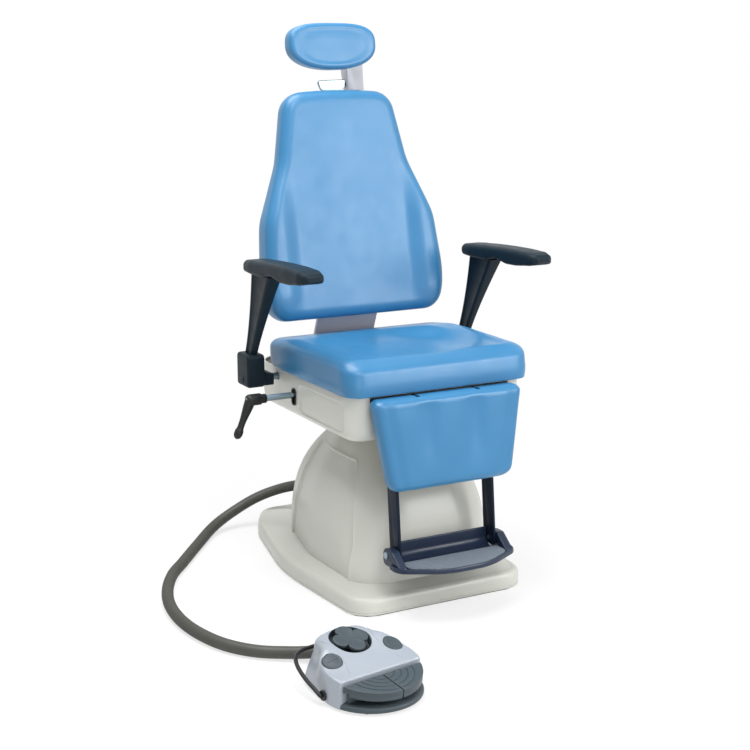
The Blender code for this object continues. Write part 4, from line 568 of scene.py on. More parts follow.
def shell_ring(distance, z, deep=0.0, lip=0.0):
    outline = rounded(mirrored([
        (0.235 - distance, -0.271 + distance, max(0.012, 0.05 - distance)),
        (0.235 - distance, 0.26 - distance, max(0.012, 0.075 - distance))]), 14)
    return panelled(outline, z, -0.236 + distance, -0.006, low=0.4255, high=0.4965, corner=0.017, deep=deep, lip=lip)


rings = [shell_ring(d, SHELL_FLOOR + rise, deep=0.0034, lip=0.0006) for d, rise in mm(
    (40, 0), (34, 0.5), (28, 1.5), (22, 3), (16.5, 5.5), (12.5, 8.2), (9, 11.5), (7, 14.5), (5.7, 16.8), (4.9, 18.6),
    (4.3, 20), (3.8, 21.4), (3.4, 22.8), (2.9, 24.5), (2.5, 26.2), (1.8, 30), (0.9, 36), (0, 46), (0, 60), (0, 74),
    (0, 80), (0, 84.5), (0, 87.5), (0, 89.5), (0, 91), (0, 92.2), (0, 93.4), (0, 94.8), (0, 96.6), (0, 100),
    (0, 106.5))]
rings.insert(0, to_radius(rings[0], SHELL_HOLE_R, SHELL_FLOOR))
rings += [shell_ring(0.0008, 0.5138), shell_ring(0.003, SHELL_RIM), shell_ring(SHELL_WALL, SHELL_RIM)]
for d, rise in mm((0, 106.5), (0, 60), (0, 46), (2.5, 26.2), (9, 11.5), (22, 3), (40, 0)):
    rings.append(shell_ring(d + SHELL_WALL, SHELL_FLOOR + rise + SHELL_WALL * (1 - smooth(rise, 0.0, 0.046))))
rings.append(to_radius(rings[0], SHELL_HOLE_R, SHELL_FLOOR + SHELL_WALL))

LOCK_SLOT = rect(0.0105, 0.442, 0.0295, 0.48, 0.009)
LUG_ROOM = 0.0025
CUT_IN, CUT_OUT = 0.205, 0.285
ARM_X, ARM_Z = 0.303, 0.493
cuts = []
for side in (-1, 1):
    cuts.append(prism(rect(0.096, 0.39, 0.3, 0.53), "X", side * 0.2322, side * CUT_OUT))
    cuts.append(prism(circle(0.0105, 32, (0.12, ARM_Z)), "X", side * CUT_IN, side * CUT_OUT))
cuts.append(prism(LOCK_SLOT, "X", -CUT_OUT, -CUT_IN))
lugs = [v.co for v in NODES["seat_frame"].data.vertices if v.co.y < -0.272]
for side in (-1, 1):
    xs = [co.x for co in lugs if co.x * side > 0]
    lug_slot = rect(min(xs) - LUG_ROOM, 0.4735, max(xs) + LUG_ROOM, 0.5015, 0.002, 3)
    cuts.append(prism(lug_slot, "Y", -0.33, -0.241))
rear_opening = rounded(mm((-92, 440, 14), (92, 440, 14), (92, 535, 1), (-92, 535, 1)))
cuts.append(prism(rear_opening, "Y", 0.21, 0.31))
shell = fit("seat_shell_moulded", carved(skin(rings, closed=True), *cuts), "seat", CREAM, "seat_shell")
soften(shell, 0.0012, 2, 45)
rows = [[(x, a, b) for a, b in inset(LOCK_SLOT, -grow)] for x, grow in mm(
    (-237.5, 0), (-237.5, 2.2), (-235, 2.6), (-229, 0), (-229, -1.2), (-236.2, -1.2))]
fit("lock_slot_liner", skin(rows, closed=True), "seat", BLACK)

# Black strip over the top of the shell's front, under the seat cushion: painted shade, so the gap above the legrest
# shows dark
shade_strip = rounded(mm((-272.6, 501.5, 0.6), (-270.2, 501.5, 0.4), (-270.2, 513.5, 0.4), (-272.6, 513.5, 0.6)), 4)
fit("painted_shade_strip", prism(shade_strip, "X", -0.184, 0.184, 0.0003, 2), "seat", BLACK)
bm = bmesh.new()
for side in (-1, 1):
    shelf = rounded(mm((side * 97.5, 160, 4), (side * 229, 160, 4), (side * 229, 254, 68.5), (side * 97.5, 254, 4)), 10)
    prism(shelf, "Z", 0.5086, 0.5112, 0.0007, 2, bm)
fit("seat_rear_shelf", bm, "seat", BLACK)


# ---- cushions
def cushion(name, outline, axes, thickness, edge, shape, count, inner, seed, uneven=0.0007, draw=0.005, slant=0.0):
    """Moulded foam pad: drawn-in sides, a rounded edge and a shaped, slightly uneven face."""
    origin, across, up, out = [Vector(v) for v in axes]
    outline = even(outline, count)

    def spot(pair, height, amount=1.0):
        rise = pair[1] + slant * height * smooth(-pair[1], 0.15, 0.29)
        here = origin + across * pair[0] + up * rise + out * height
        drift = noise.noise(here * 9.0 + Vector((seed, 0, 0))) + 0.4 * noise.noise(here * 31.0 + Vector((0, seed, 0)))
        return here + out * (drift * uneven * amount)

    rows = [[spot(pair, 0.0, 0.0) for pair in inset(outline, draw + 0.006)]]
    for share in (0.0, 0.02, 0.06, 0.12, 0.2, 0.29, 0.38):
        distance = draw * (1 - share / 0.38) ** 1.8
        rows.append([spot(pair, thickness * share, 0.0) for pair in inset(outline, distance)])
    for k, (sine, cosine) in enumerate(quarter(10)):
        drop = edge * 0.75 * (1 - sine)
        ring = inset(outline, edge * (1 - cosine))
        rows.append([spot(pair, thickness + shape(*pair) - drop, k / 10) for pair in ring])
    rim = inset(outline, edge)
    middle = (sum(p[0] for p in rim) / count, sum(p[1] for p in rim) / count)
    for k in range(1, inner + 1):
        share = 1 - 0.985 * k / inner
        rows.append([spot(pair, thickness + shape(*pair)) for pair in [between(middle, p, share) for p in rim]])
    return piece(name, skin(rows), sharp=180)


def facing(way, spot):
    """Place at a spot, with its Z along a way."""
    return Matrix.Translation(spot) @ Vector((0, 0, 1)).rotation_difference(way).to_matrix().to_4x4()


def leaning(degrees):
    """The ways up and out of a pad that leans back."""
    lean = radians(degrees)
    return Vector((0, sin(lean), cos(lean))), Vector((0, -cos(lean), sin(lean)))


def seat_shape(x, y):
    front = smooth(-y, 0.24, 0.29)
    hollow = 1 - smooth(hypot(x / 0.195, (y + 0.07) / 0.19) ** 2.2, 0.3, 1.12)
    rear = 0.012 * smooth(y, 0.033, 0.166)
    ridge = 0.0038 * hump(y, -0.255, 0.015) * (1 - smooth(abs(x), 0.195, 0.235))
    ridge += 0.003 * hump(abs(x), 0.212, 0.015) * (1 - smooth(y, 0.0, 0.12)) * smooth(y, -0.27, -0.23)
    return ridge - rear - 0.018 * hollow - 0.007 * front


seat_outline = rounded(mirrored(mm((244, -290, 42), (250, -20, 400), (244, 166, 42))), 12)
seat_pad = cushion("seat_cushion_moulded", seat_outline, ((0, 0, 0.518), (1, 0, 0), (0, 1, 0), (0, 0, 1)),
                   thickness=0.076, edge=0.026, shape=seat_shape, count=180, inner=40, seed=1.7, slant=0.2)
dress(seat_pad, "seat", VINYL, "seat_cushion")

BACK_UP, BACK_OUT = leaning(11.5)
BACK_ORIGIN = Vector((0, 0.171, 0.6147))
BACK_LINE = rounded(mirrored(mm((233.1, 0, 50), (251, 88.8, 300), (236.1, 244.5, 160), (179.6, 388.9, 220),
                                (146.5, 558, 56), (58.6, 563, 200))), 10)


def back_spot(x, u, n):
    return BACK_ORIGIN + Vector((x, 0, 0)) + BACK_UP * u + BACK_OUT * n


def back_shape(x, u):
    side = smooth(abs(x), 0.146, 0.202)
    low_part = (1 - smooth(u, 0.235, 0.405)) * smooth(u, -0.02, 0.07)
    crown = 0.004 * (1 - smooth(abs(x), 0.0, 0.137))
    return 0.012 * side * low_part + crown


back_pad = cushion("back_cushion_moulded", BACK_LINE, (BACK_ORIGIN, (1, 0, 0), BACK_UP, BACK_OUT),
                   thickness=0.056, edge=0.028, shape=back_shape, count=200, inner=40, seed=5.1)
dress(back_pad, "back", VINYL, "back_cushion")
panel_line = even(BACK_LINE, 200)
rows = [[back_spot(x, u, n) for x, u in inset(panel_line, distance)] for n, distance in mm(
    (-10.3, 30), (-10.3, 19), (-9.8, 16.8), (-8.5, 14.5), (-6.3, 11.2), (-4, 10.2), (-0.3, 10))]
fit("back_panel_moulded", skin(rows), "back", CREAM, "back_panel", sharp=50)

SCREW = mm((0, 0), (7.2, 0), (7.2, 1.6), (6.4, 3.1), (5, 4), (3, 4.2), (2.6, 2.2), (0, 2.2))
bm = bmesh.new()
for spot, size in zip(mm((-55, 222, -18.4), (55, 222, -18.4), (-55, 150, -18.4), (55, 150, -18.4), (87, 420, -47.8),
                         (87, 490, -47.8)), (1.0, 1.0, 1.0, 1.0, 0.7, 0.7)):
    turned([(r * size, h * size) for r, h in SCREW], facing(-BACK_OUT, back_spot(*spot)), 24, bm)
fit("back_screws", bm, "back", ZINC)

HEAD_UP, HEAD_OUT = leaning(7.0)
HEAD_ORIGIN = Vector((0, 0.3055, 1.28))
HEAD_HALF = 0.12


def head_curve(u):
    """Power and height of the headrest's outline, over and under its middle."""
    return (3.2, 0.054) if u > 0 else (2.3, 0.06)


def head_shape(x, u):
    power, height = head_curve(u)
    reach = (abs(x / HEAD_HALF) ** power + abs(u / height) ** power) ** (1 / power)
    return 0.0016 * smooth(reach, 0.66, 0.86) - 0.002 * smooth(u, 0.01, 0.05)


head_outline = []
for k in range(120):
    angle = tau * (k + 0.5) / 120
    across, rise = cos(angle), sin(angle)
    power, height = head_curve(rise)
    head_outline.append((copysign(abs(across) ** (2 / power), across) * HEAD_HALF,
                         copysign(abs(rise) ** (2 / power), rise) * height))
head_pad = cushion("headrest_cushion_moulded", head_outline, (HEAD_ORIGIN, (1, 0, 0), HEAD_UP, HEAD_OUT),
                   thickness=0.047, edge=0.012, shape=head_shape, count=130, inner=26, seed=8.3, uneven=0.0004,
                   draw=0.01)
dress(head_pad, "head", VINYL, "headrest_cushion")

LEG_DOWN, LEG_REAR = (-way for way in leaning(5.5))
LEG_AXIS = Vector((0, -0.3005, 0.4875))
LEG_TOP, LEG_END = -0.0262, 0.19
LEG_EDGE, LEG_THICK, LEG_CROWN = 0.02, 0.041, 0.004


def leg_spot(x, s, n):
    return LEG_AXIS + Vector((x, 0, 0)) + LEG_DOWN * s + LEG_REAR * n


def leg_row(s, share):
    """Section across the legrest pad, its height scaled by a share."""
    down = max(0.0, (s + 0.0225) / 0.2125)
    width = 0.196 - 0.036 * down
    for corner, room in ((0.02, s - LEG_TOP), (0.028, LEG_END - s)):
        if room < corner:
            width -= corner - sqrt(max(0.0, corner ** 2 - (corner - room) ** 2))
    fade = smooth(down, -0.06, 0.14) * (1 - smooth(down, 0.4, 0.86))
    half = [(width - a, b) for a, b in mm((7, 0), (5, 0), (2.5, 3), (1, 6.5), (0.2, 13), (0, 19))]
    for sine, cosine in quarter(9)[1:-1]:
        half.append((width - LEG_EDGE * (1 - cosine), LEG_THICK - LEG_EDGE * 0.75 * (1 - sine)))
    for k in range(44):
        x = (width - LEG_EDGE) * (1 - k / 44)
        channel = hump(x, 0.062, 0.025) + hump(x, -0.062, 0.025)
        rise = LEG_CROWN * smooth(width - LEG_EDGE - x, 0.0, 0.03)
        half.append((x, LEG_THICK + rise - 0.0048 * channel * fade))
    half.append((0.0, LEG_THICK + LEG_CROWN))
    spots = []
    for x, height in half + [(-x, height) for x, height in reversed(half[:-1])]:
        wave = 0.001 * cos(x / 0.0197) * (1 - smooth(down, 0.0, 0.25)) if height > 0.03 else 0.0
        spot = leg_spot(x, s, 0.0185 - (height - wave) * share)
        spots.append(spot + LEG_REAR * (0.0005 * noise.noise(spot * 14.0)))
    return spots


ends = [(0.0, 0.4), (0.0006, 0.5), (0.0016, 0.6), (0.0032, 0.7), (0.0055, 0.79), (0.0085, 0.87), (0.012, 0.935),
        (0.016, 0.98), (0.02, 1.0)]
rows = [leg_row(LEG_TOP + away * 0.75, share) for away, share in ends]
rows += [leg_row(LEG_TOP + 0.015 + 0.1812 * k / 24, 1.0) for k in range(1, 24)]
rows += [leg_row(LEG_END - away, share) for away, share in reversed(ends)]
POCKET_HALF = 0.0049
cuts = []
for tag in ("right", "left"):
    pin_low, pin_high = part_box("legrest_pin_" + tag)
    middle = (pin_low.x + pin_high.x) / 2
    low, high = middle - POCKET_HALF, middle + POCKET_HALF
    cuts.append(prism(rect(-0.3098, 0.4715, -0.2205, 0.5475), "X", low, high))
    pocket = rect(-0.005, -0.0135, 0.034, 0.06)
    cuts.append(skin([[leg_spot(x, s, n) for s, n in pocket] for x in (low, high)]))
leg_pad = piece("legrest_cushion_moulded", carved(skin(rows), *cuts), sharp=60)
dress(leg_pad, "legrest", VINYL, "legrest_cushion")


# ---- armrests
def post_ring(middle, y, z, half_x, half_y):
    """Section of an arm post with a sunk field on its two broad faces."""
    corners = rect(-half_x, -half_y, half_x, half_y, 0.0055, 6)
    points = []
    for i, here in enumerate(corners):
        points.append(here)
        after = corners[(i + 1) % len(corners)]
        if i % 7 == 6 and abs(after[1] - here[1]) > abs(after[0] - here[0]):
            sign = 1 if here[0] > 0 else -1
            toward = 1 if after[1] > here[1] else -1
            field = half_y - 0.0105
            for y_part, sunk in ((-field - 0.0012, 0.0), (-field, 0.0009), (-field + 0.0012, 0.0016), (0.0, 0.0016),
                                 (field - 0.0012, 0.0016), (field, 0.0009), (field + 0.0012, 0.0)):
                points.append((sign * (half_x - sunk), y_part * toward))
        elif i % 7 == 6:
            points += [between(here, after, 0.33), between(here, after, 0.67)]
    return [(middle + a, y + b, z) for a, b in points]


def pad_ring(middle, y, low, high, half_width):
    half = (high - low) / 2
    limit = min(PAD_ROUND, half * 0.95, half_width * 0.95)
    return [(middle + a, y, (low + high) / 2 + b) for a, b in rounded([
        (half_width, -half, limit * 0.6), (half_width, half, limit), (-half_width, half, limit),
        (-half_width, -half, limit * 0.6)], 8)]


def along(table, share):
    """Values of a table of rows (share, ...) at a share, on a smooth line."""
    for first, second in zip(table[:-1], table[1:]):
        if share <= second[0]:
            part = smooth(share, first[0], second[0])
            part = 0.5 * part + 0.5 * (share - first[0]) / (second[0] - first[0])
            return between(first[1:], second[1:], part)
    return table[-1][1:]


# Share of the way along an arm pad, with its height, width and raised underside there
PAD_TABLE = (
    (0.0, 0.5, 0.45, 0.01), (0.012, 0.7, 0.76, 0.004), (0.05, 0.8, 0.93, 0.001), (0.15, 0.88, 1.0, 0.0),
    (0.36, 1.0, 1.0, 0.0), (0.42, 1.03, 1.0, 0.006), (0.48, 1.05, 1.0, 0.01), (0.55, 1.08, 1.0, 0.007),
    (0.64, 1.1, 1.0, 0.002), (0.75, 1.12, 1.0, 0.003), (0.92, 1.1, 0.96, 0.009), (0.975, 0.99, 0.82, 0.013),
    (1.0, 0.78, 0.5, 0.019))
PAD_UNDER = 0.762
PAD_REAR = 0.098
PAD_LENGTH = 0.336
PAD_THICK = 0.037
PAD_HALF = 0.033
PAD_ROUND = 0.014
for side, tag in SIDES:
    body = "arm_" + tag
    middle = side * ARM_X
    cap = middle + side * 0.024
    block = rounded(mm((83, 477, 9), (153, 477, 9), (153, 558, 10), (83, 558, 10)))
    bm = prism(block, "X", middle - side * 0.022, cap, 0.007, 5)
    boot = rounded([(side * 0.253, 0.4775, 0.004), (middle, 0.4775, 0.002), (middle, 0.517, 0.002),
                    (middle - side * 0.0215, 0.517, 0.001), (middle - side * 0.032, 0.509, 0.008),
                    (side * 0.253, 0.5055, 0.004)], 6)
    prism(boot, "Y", 0.094, 0.144, 0.0036, 4, bm)
    skin([[(cap + side * depth, y, z) for y, z in circle(radius, 28, (0.118, ARM_Z))] for depth, radius in mm(
        (-1, 8.5), (0.8, 8.5), (1.2, 7.8), (1.2, 4), (0.4, 3))], bm=bm)
    fit("arm_socket_moulded_" + tag, bm, body, SLATE, "arm_socket_" + tag, sharp=40)
    rows = []
    for share in spread(0.0, 1.0, 25):
        grow = share ** 1.5
        rows.append(post_ring(middle, 0.116 - 0.098 * share, 0.5583 + 0.2034 * share,
                              0.009 + 0.009 * grow, 0.0205 + 0.03 * grow))
    fit("arm_post_moulded_" + tag, skin(rows), body, SLATE, "arm_post_" + tag, sharp=40)
    rows = []
    for k in range(61):
        share = 0.5 - 0.5 * cos(pi * k / 60)
        height, width, lift = along(PAD_TABLE, share)
        rows.append(pad_ring(middle, PAD_REAR - PAD_LENGTH * share, PAD_UNDER + lift, PAD_UNDER + PAD_THICK * height,
                             PAD_HALF * width))
    fit("arm_pad_moulded_" + tag, skin(rows), body, SLATE, "arm_pad_" + tag, sharp=50)

# ---- swivel lock lever
turn = Matrix.Translation((-0.344, 0.02, 0.466)) @ Matrix.Rotation(radians(-90), 4, "Y")
bm = turned(mm((6.8, -34), (10.5, -34), (11.2, -33), (11.2, -23), (10.3, -22.5), (10.3, -21.5), (13.2, -20.5),
               (14, -19), (14, 6), (13.4, 11), (11.2, 14.8), (7.2, 16), (6.6, 15.2), (0, 15)), turn, 36)
grip, _ = through(mm((-350, 20, 464), (-358, 20, 445), (-371, 20, 415), (-381, 20, 391), (-385, 20, 382),
                     (-388, 20, 375.5)), 41)
radii = []
for share in spread(0.0, 1.0, 41):
    radius = 0.013 - 0.005 * smooth(share, 0.0, 0.62) + 0.0026 * smooth(share, 0.7, 0.8)
    if share > 0.86:
        radius *= sqrt(max(0.02, 1 - ((share - 0.86) / 0.14) ** 2))
    radii.append(radius)
pipe(grip, radii, 28, 0.92, bm)
fit("lock_lever_moulded", bm, "lock", BLACK, "lock_lever", sharp=45)
bm = turned(mm((5.8, 14), (5.8, 15.8), (5, 16.6), (2.6, 16.6), (2.2, 15), (0, 15)), turn, 24)
fit("lock_lever_screw", bm, "lock", CHROME)


# ---- footrest
def tray_outline(distance):
    return rounded(mirrored([
        (0.058, -0.4133 + distance, 0.15), (0.161 - distance, -0.3573 + distance * 0.5, 0.036 - distance),
        (0.161 - distance, -0.3183 - distance, 0.005)]), 14)


bm = skin(stacked(
    tray_outline, (4, 117.3), (1.5, 117.7), (0.4, 118.7), (0, 120.5), (0, 125), (0.6, 127.5), (2, 129.1), (3.6, 129.3),
    (5, 128.3), (5.8, 126.3), (6.4, 125.4), (12, 125.3)))
wall = rounded(mm((-277.8, 119.3, 1), (-277.8, 165.3, 2.8), (-283.8, 165.3, 2.8), (-283.8, 135.3, 14), (-300, 125.1, 1),
                  (-321, 125.1, 1), (-321, 118.3, 1)))
prism(wall, "X", -0.1232, 0.1232, 0.0009, 3, bm)
cheek = rounded(mm((-275.8, 117.3, 12), (-275.8, 158.3, 15), (-314.3, 158.3, 15), (-356.3, 126.3, 6),
                   (-356.3, 117.3, 2)))
for side in (-1, 1):
    prism(cheek, "X", side * 0.1328, side * 0.1538, 0.0035, 4, bm)
fit("footrest_tray_pressed", bm, "footrest", TRAY, "footrest_tray", sharp=40)

MAT_LOW, MAT_HIGH = 0.1256, 0.1296
mat_line = rounded(mirrored(mm((58, -404.3, 130), (130.8, -363.3, 24), (130.8, -321.3, 4))), 14)
bm = prism(mat_line, "Z", MAT_LOW, MAT_HIGH - 0.0008, 0.001, 3)
rib = mm((-2.4, 0), (-1.9, 1.1), (-1, 1.6), (1, 1.6), (1.9, 1.1), (2.4, 0))
for y in spread(-0.327, -0.397, 10):
    reach = max(x for x, edge_y in even(mat_line, 400) if abs(edge_y - y) < 0.002) - 0.006
    skin([[(x, y + a, MAT_HIGH - 0.001 + b) for a, b in rib] for x in spread(-reach, reach, 9)], bm=bm)
fit("footrest_mat_ribbed", bm, "footrest", RUBBER, "footrest_mat")

# ---- foot control, about its own origin
DISC_Y, DISC_R, REAR = -0.033, 0.107, 0.112
HOUSE_FRONT, HOUSE_SLOPE = -0.065, 0.285
RIDGE = Vector((0, -0.074, 0.0377))
TREAD_PLACE = Matrix.Translation(RIDGE) @ Matrix.Rotation(radians(7.0), 4, "X") @ Matrix.Translation(-RIDGE)


def on_disc(radius, angle):
    return radius * cos(angle), DISC_Y + radius * sin(angle)


def tail_of(distance):
    """Corners of the left rear of the foot control, drawn in by a distance."""
    rear, half = REAR - distance, DISC_R * 0.86 - distance
    return [(half, rear - 0.055, 0.014), (half - 0.01, rear - 0.022, 0.014), (half - 0.04, rear, 0.014)]


def pedal_outline(distance):
    points = [on_disc(DISC_R - distance, radians(-195 + 210 * k / 72)) for k in range(73)]
    tail = rounded([(*points[-1], 0.0001)] + mirrored(tail_of(distance)) + [(*points[0], 0.0001)], 5)[6:-6]
    return points + tail


pan = skin(stacked(
    pedal_outline, (8, 4), (4.2, 4), (1.6, 5.4), (0.4, 7.2), (0, 9), (0, 12), (0.8, 14), (2.4, 15.6), (6, 17),
    (12, 18.6), (20, 20.2), (30, 21.4), (40, 22)))
bm = carved(pan, prism(rect(-0.2, -0.0653, 0.2, 0.2), "Z", 0.006, 0.1))
for x, y in ((-0.06, DISC_Y - 0.065), (0.06, DISC_Y - 0.065), (-0.055, REAR - 0.04), (0.055, REAR - 0.04)):
    turned(mm((0, 0), (7.8, 0), (9, 1.2), (9, 5)), Matrix.Translation((x, y, 0)), 24, bm)
prism(rect(-0.077, 0.02, -0.071, RIDGE.z), "X", -0.088, 0.088, bm=bm)
pipe([(-0.0885, RIDGE.y, RIDGE.z), (0.0885, RIDGE.y, RIDGE.z)], 0.004, 18, bm=bm)
fit("pedal_base_moulded", bm, "base", CONTROL, "pedal_base", sharp=40, place=PEDAL_PLACE)


def house_top(x, y):
    lobe = 0.01 * hump(abs(x), 0.07, 0.03) * hump(y, 0.03, 0.035)
    return (0.064 + (y - HOUSE_FRONT) * (HOUSE_SLOPE - 0.14 * (x / DISC_R) ** 2) + lobe
            - 0.018 * smooth(y, REAR - 0.04, REAR))


def house_outline(distance=0.0):
    radius = DISC_R - distance
    first, last = asin((HOUSE_FRONT + distance - DISC_Y) / radius), radians(15)
    corners = [(*on_disc(radius, first + (last - first) * k / 15), 0.0004 if k else 0.004) for k in range(16)]
    return even(rounded(mirrored(corners + tail_of(distance)), 6), 190)


DEEP_IN = 0.032
WALL_FOOT = 0.008
outer, deep_in = house_outline(), house_outline(DEEP_IN)


def edge_of(y):
    return 0.0042 + 0.008 * smooth(y, -0.03, 0.09)


def draft_of(y):
    return 0.019 * smooth(y, 0.004, 0.06) - 0.008 * smooth(y, 0.08, REAR)


def drawn(i, distance):
    """Point i of the outline brought in by a distance."""
    return between(outer[i], deep_in[i], distance / DEEP_IN)


rows = [level(house_outline(0.003), 0.0063), level(house_outline(0.0008), 0.0066)]
for share in (0.0, 0.2, 0.4, 0.6, 0.8, 0.9):
    rows.append([(*drawn(i, draft_of(y) * share ** 1.6), WALL_FOOT + (house_top(x, y) - edge_of(y) - WALL_FOOT) * share)
                 for i, (x, y) in enumerate(outer)])
for sine, cosine in quarter(7):
    ring = []
    for i, (x, y) in enumerate(outer):
        edge = edge_of(y)
        x, y = drawn(i, draft_of(y) + edge * (1 - cosine))
        ring.append((x, y, house_top(x, y) - edge * (1 - sine)))
    rows.append(ring)
rim = [spot[:2] for spot in rows[-1]]
for k in range(1, 23):
    ring = [between((0.0, 0.02), spot, 1 - 0.97 * k / 22) for spot in rim]
    rows.append([(x, y, house_top(x, y)) for x, y in ring])

DISH_R, LOBE_R = 0.0455, 0.041
DISH_PLACE = Matrix.Translation((0, 0.04, house_top(0, 0.04))) @ Matrix.Rotation(atan(HOUSE_SLOPE), 4, "X")
dish = [(0.0, -0.018), (DISH_R - 0.003, -0.018), (DISH_R, -0.015), (DISH_R, 0.06), (0.0, 0.06)]
cuts = [turned(dish, DISH_PLACE, 64)]
seats = {}
for side, tag in SIDES:
    x, y, step = side * 0.077, -0.004, 0.004
    normal = Vector((-(house_top(x + step, y) - house_top(x - step, y)) / (2 * step),
                     -(house_top(x, y + step) - house_top(x, y - step)) / (2 * step), 1.0)).normalized()
    centre = Vector((x, y, house_top(x, y))) - normal * 0.0065
    seats[tag] = facing(normal, centre)
    cuts.append(turned(mm((0, -8.5), (22, -8.5), (22, 50), (0, 50)), seats[tag], 48))
housing = fit("pedal_housing_moulded", carved(skin(rows), *cuts), "base", SILVER, "pedal_housing", place=PEDAL_PLACE)
soften(housing, 0.001, 2, 45)

# Mouldings on the housing: beads between the middle and the button fields, and a liner in the dish
bm = bmesh.new()
for side in (-1, 1):
    line = []
    for share in spread(0.0, 1.0, 31):
        x, y = side * (0.06 - 0.014 * sin(pi * share) + 0.01 * share), 0.062 - 0.118 * share
        line.append(PEDAL_PLACE @ Vector((x, y, house_top(x, y) - 0.0002)))
    pipe(line, [0.001 * min(1.0, 8 * min(k, 30 - k) / 30 + 0.15) for k in range(31)], 10, bm=bm)
fit("pedal_housing_beads", bm, "base", SILVER, sharp=180)
liner = mm((7.5, -18.3), (7.5, -17.8), (10, -17.6), (41.5, -17.6), (44, -16.4), (44.3, -15), (44.3, -1.4), (44.9, -1.2),
           (45.3, -1.6), (45.3, -16.8), (44, -18.3))
bm = skin([level(circle(radius, 64), z) for radius, z in liner], closed=True)
fit("pedal_dish_liner", bm, "base", CONTROL, sharp=40, place=PEDAL_PLACE @ DISH_PLACE)


def lobe_ring(share, z):
    """Ring of the four-lobed direction pad, at a share of its size."""
    ring = []
    for x, y in circle(1.0, 128):
        radius = share * LOBE_R * (0.6 + 0.4 * abs(x * x - y * y) ** 0.6)
        ring.append((radius * x, radius * y, z - 0.0027))
    return ring


bm = skin([lobe_ring(share, z) for share, z in (
    (0.8, 0.0), (0.93, 0.0), (0.975, 0.0008), (1.0, 0.0024), (1.0, 0.005), (0.985, 0.0066), (0.955, 0.0077),
    (0.91, 0.008), (0.8, 0.0076), (0.6, 0.0068), (0.4, 0.0062), (0.2, 0.0059), (0.03, 0.0058))])
turned(mm((5, -4.4), (5, -1)), Matrix.Identity(4), 24, bm)
fit("direction_pad_moulded", bm, "direction_pad", CONTROL, "direction_pad", sharp=50, place=PEDAL_PLACE @ DISH_PLACE)

BAR_HALF = 0.0135
button = mm((0, -4), (21.5, -4), (21.5, 5.2), (21.1, 6.6), (20, 7.8), (18.5, 8.4), (17.2, 8.4), (16.5, 8), (15, 8.2),
            (10, 9), (5, 9.4), (0, 9.5))
for tag in ("right", "left"):
    bm = turned(button, seats[tag], 48)
    rows = []
    for k in range(15):
        x = -BAR_HALF + 2 * BAR_HALF * k / 14
        z = 0.0088 + 0.0006 * (1 - (x / BAR_HALF) ** 2)
        size = min(1.0, 6 * min(k, 14 - k) / 14 + 0.2)
        rows.append([seats[tag] @ Vector((x, 0.0011 * a, z + 0.0009 * b)) for a, b in circle(size, 10)])
    skin(rows, bm=bm)
    fit("foot_button_moulded_" + tag, bm, "key_" + tag, CONTROL, "button_" + tag, sharp=45, place=PEDAL_PLACE)

TREAD_REAR, TREAD_GAP = -0.068, 0.0012
reach = DISC_R - 0.003
end = asin((DISC_Y - TREAD_REAR) / reach)
groove = mm((1.3, 60), (1.3, 54.8), (0.6, 53.8), (-0.6, 53.8), (-1.3, 54.8), (-1.3, 60))
skirt = mm((0, 44), (0, 36.8), (1, 35.8), (5, 35.8), (6, 36.8), (6, 44))
for side, tag in SIDES:
    outline = [(side * TREAD_GAP, TREAD_REAR)]
    for k in range(41):
        x, y = on_disc(reach, -pi / 2 + (pi / 2 - end) * k / 40)
        outline.append((max(TREAD_GAP, x) * side, y))
    grooves = [skin([level(circle(radius + grow, 72, (0.0, -0.056)), z) for grow, z in groove], closed=True)
               for radius in (0.03, 0.044, 0.058, 0.072)]
    bm = carved(prism(outline, "Z", 0.042, 0.055, 0.0016, 3), *grooves)
    rows = []
    for k in range(25):
        angle = -pi / 2 + radians(1.0 + 61.0 * k / 24)
        ring = [(*on_disc(reach - drop, angle), z) for drop, z in skirt]
        rows.append([(side * x, y, z) for x, y, z in ring])
    skin(rows, bm=bm)
    fit("foot_tread_moulded_" + tag, bm, "tread_" + tag, CONTROL, "pedal_" + tag, sharp=40,
        place=PEDAL_PLACE @ TREAD_PLACE)

bail_line = mm((111.6, -15, 20), (114, -15, 20), (115.2, -10, 23), (114.8, 3, 27), (112, 42, 37), (103, 82, 47),
               (88, 110, 53), (66, 124, 56), (40, 127.5, 57))
line, _ = through(mirrored(bail_line), 140)
bail_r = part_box("carry_bail")[1].z - 0.056
bm = pipe(line, bail_r * 0.98, 20)
fit("carry_bail_bent", bm, "bail", BLACK, "carry_bail", sharp=180, place=PEDAL_PLACE)
for side, tag in SIDES:
    turn = Matrix.Translation((side * 0.1073, -0.015, 0.02)) @ Matrix.Rotation(radians(90 * side), 4, "Y")
    bm = turned(mm((0, 0), (10.5, 0), (11, 0.6), (11, 2.6), (10, 3.8), (7.8, 4), (0, 4)), turn, 32)
    fit("bail_pivot_turned_" + tag, bm, "base", BLACK, "bail_pivot_" + tag, place=PEDAL_PLACE)
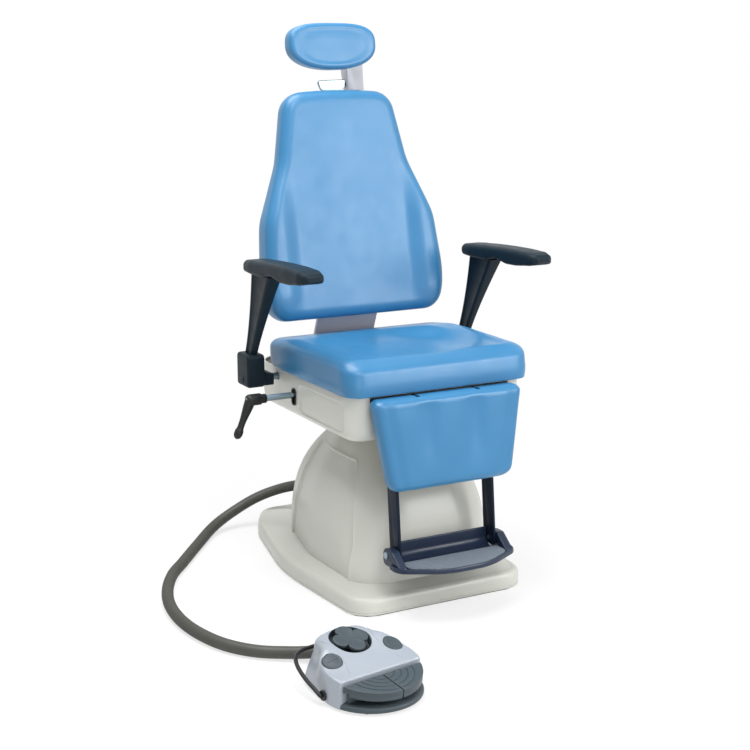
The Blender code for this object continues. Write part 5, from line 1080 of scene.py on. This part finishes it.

# ---- CAD nodes that stay, with their finishes
# seat_pan is dark so that its thin edge between the shell and the seat cushion shows as a line of painted shade
for material, names in (
        (DARK, "floor_plate guide_column lift_actuator swivel_plate seat_frame seat_pan back_drive headrest_guide"),
        (CONTROL, "hose_gland pedal_gland direction_gimbal"), (GREY, "lift_column back_bracket"),
        (CHROME, "back_hinge_pin headrest_stem"), (PALE, "headrest_bracket headrest_plate"),
        (NAVY, "legrest_board footrest_bar_left footrest_bar_right"),
        (ZINC, "lift_rod headrest_stem_pin headrest_lever headrest_pin legrest_pin_left legrest_pin_right "
               "footrest_pin_left footrest_pin_right arm_shaft_left arm_shaft_right lock_rod")):
    for name in names.split():
        paint(NODES[name].data, material)
        shade(NODES[name].data)
for name, width in (("headrest_bracket", 0.0025), ("back_bracket", 0.002), ("headrest_plate", 0.0015),
                    ("headrest_guide", 0.002), ("footrest_bar_left", 0.0012), ("footrest_bar_right", 0.0012)):
    mod = NODES[name].modifiers.new("join_points", "WELD")
    mod.merge_threshold = 0.00002
    soften(NODES[name], width, 3, 40)

# ---- floor, world and lamps
WHITE = (1, 1, 1, 1)
floor_mesh = bpy.data.meshes.new("floor")
floor_mesh.from_pydata([(-14, -14, 0), (14, -14, 0), (14, 14, 0), (-14, 14, 0)], [], [(0, 1, 2, 3)])
floor = placed("floor", floor_mesh)
floor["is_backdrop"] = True
mat = bpy.data.materials.new("studio_floor")
floor_mesh.materials.append(mat)
wiring = Wiring(mat)
matt = wiring.nodes["Principled BSDF"]
wiring.put(matt, {"Base Color": (0.92, 0.92, 0.92, 1), "Roughness": 0.9, "Specular IOR Level": 0.0})
glow = wiring.add("Emission", "Emission", {"Strength": 1.0})
away = wiring.add("VectorMath", "Value", {0: wiring.add("TexCoord", "Object", {}), 1: (-0.15, -0.1, 0.0)},
                  operation="DISTANCE")
fade = wiring.remap(away, 0.55, 1.9, 0.72, 1.0, interpolation_type="SMOOTHSTEP")
share = wiring.add("Math", 0, {0: wiring.viewed(), 1: fade}, operation="MULTIPLY")
mixed = wiring.add("MixShader", "Shader", {"Fac": share, 1: matt.outputs["BSDF"], 2: glow})
wiring.put(wiring.nodes["Material Output"], {"Surface": mixed})

world = bpy.data.worlds.new("studio")
scene.world = world
wiring = Wiring(world)
ambient = wiring.nodes["Background"]
wiring.put(ambient, {"Color": WHITE, "Strength": 0.26})
white = wiring.add("Background", "Background", {"Color": WHITE, "Strength": 1.0})
mixed = wiring.add("MixShader", "Shader", {"Fac": wiring.viewed(), 1: ambient.outputs["Background"], 2: white})
wiring.put(wiring.nodes["World Output"], {"Surface": mixed})


def lamp(name, spot, target, size, power):
    data = bpy.data.lights.new(name, "AREA")
    data.shape = "RECTANGLE"
    data.size, data.size_y = size
    data.energy = power
    obj = placed(name, data)
    obj.location = spot
    obj.rotation_euler = (Vector(target) - Vector(spot)).to_track_quat("-Z", "Y").to_euler()
    return obj


lamp("key", (-0.2, -3.4, 4.2), (0, 0, 0.6), (1.8, 1.8), 76)
lamp("fill", (3.0, -2.2, 2.2), (0, 0, 0.7), (1.6, 2.2), 16)
lamp("front", (1.5, -2.6, 1.6), (0, 0.1, 0.9), (1.4, 1.6), 31)
lamp("top", (-0.6, 0.0, 3.6), (0, 0, 0.3), (2.2, 2.2), 122)
lamp("low", (-0.7, -3.0, 0.8), (0.0, -0.2, 0.05), (1.4, 0.5), 8)
lamp("sheen", (1.5, -2.6, 1.55), (0, 0.1, 0.9), (1.3, 1.5), 23).visible_diffuse = False

low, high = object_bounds()
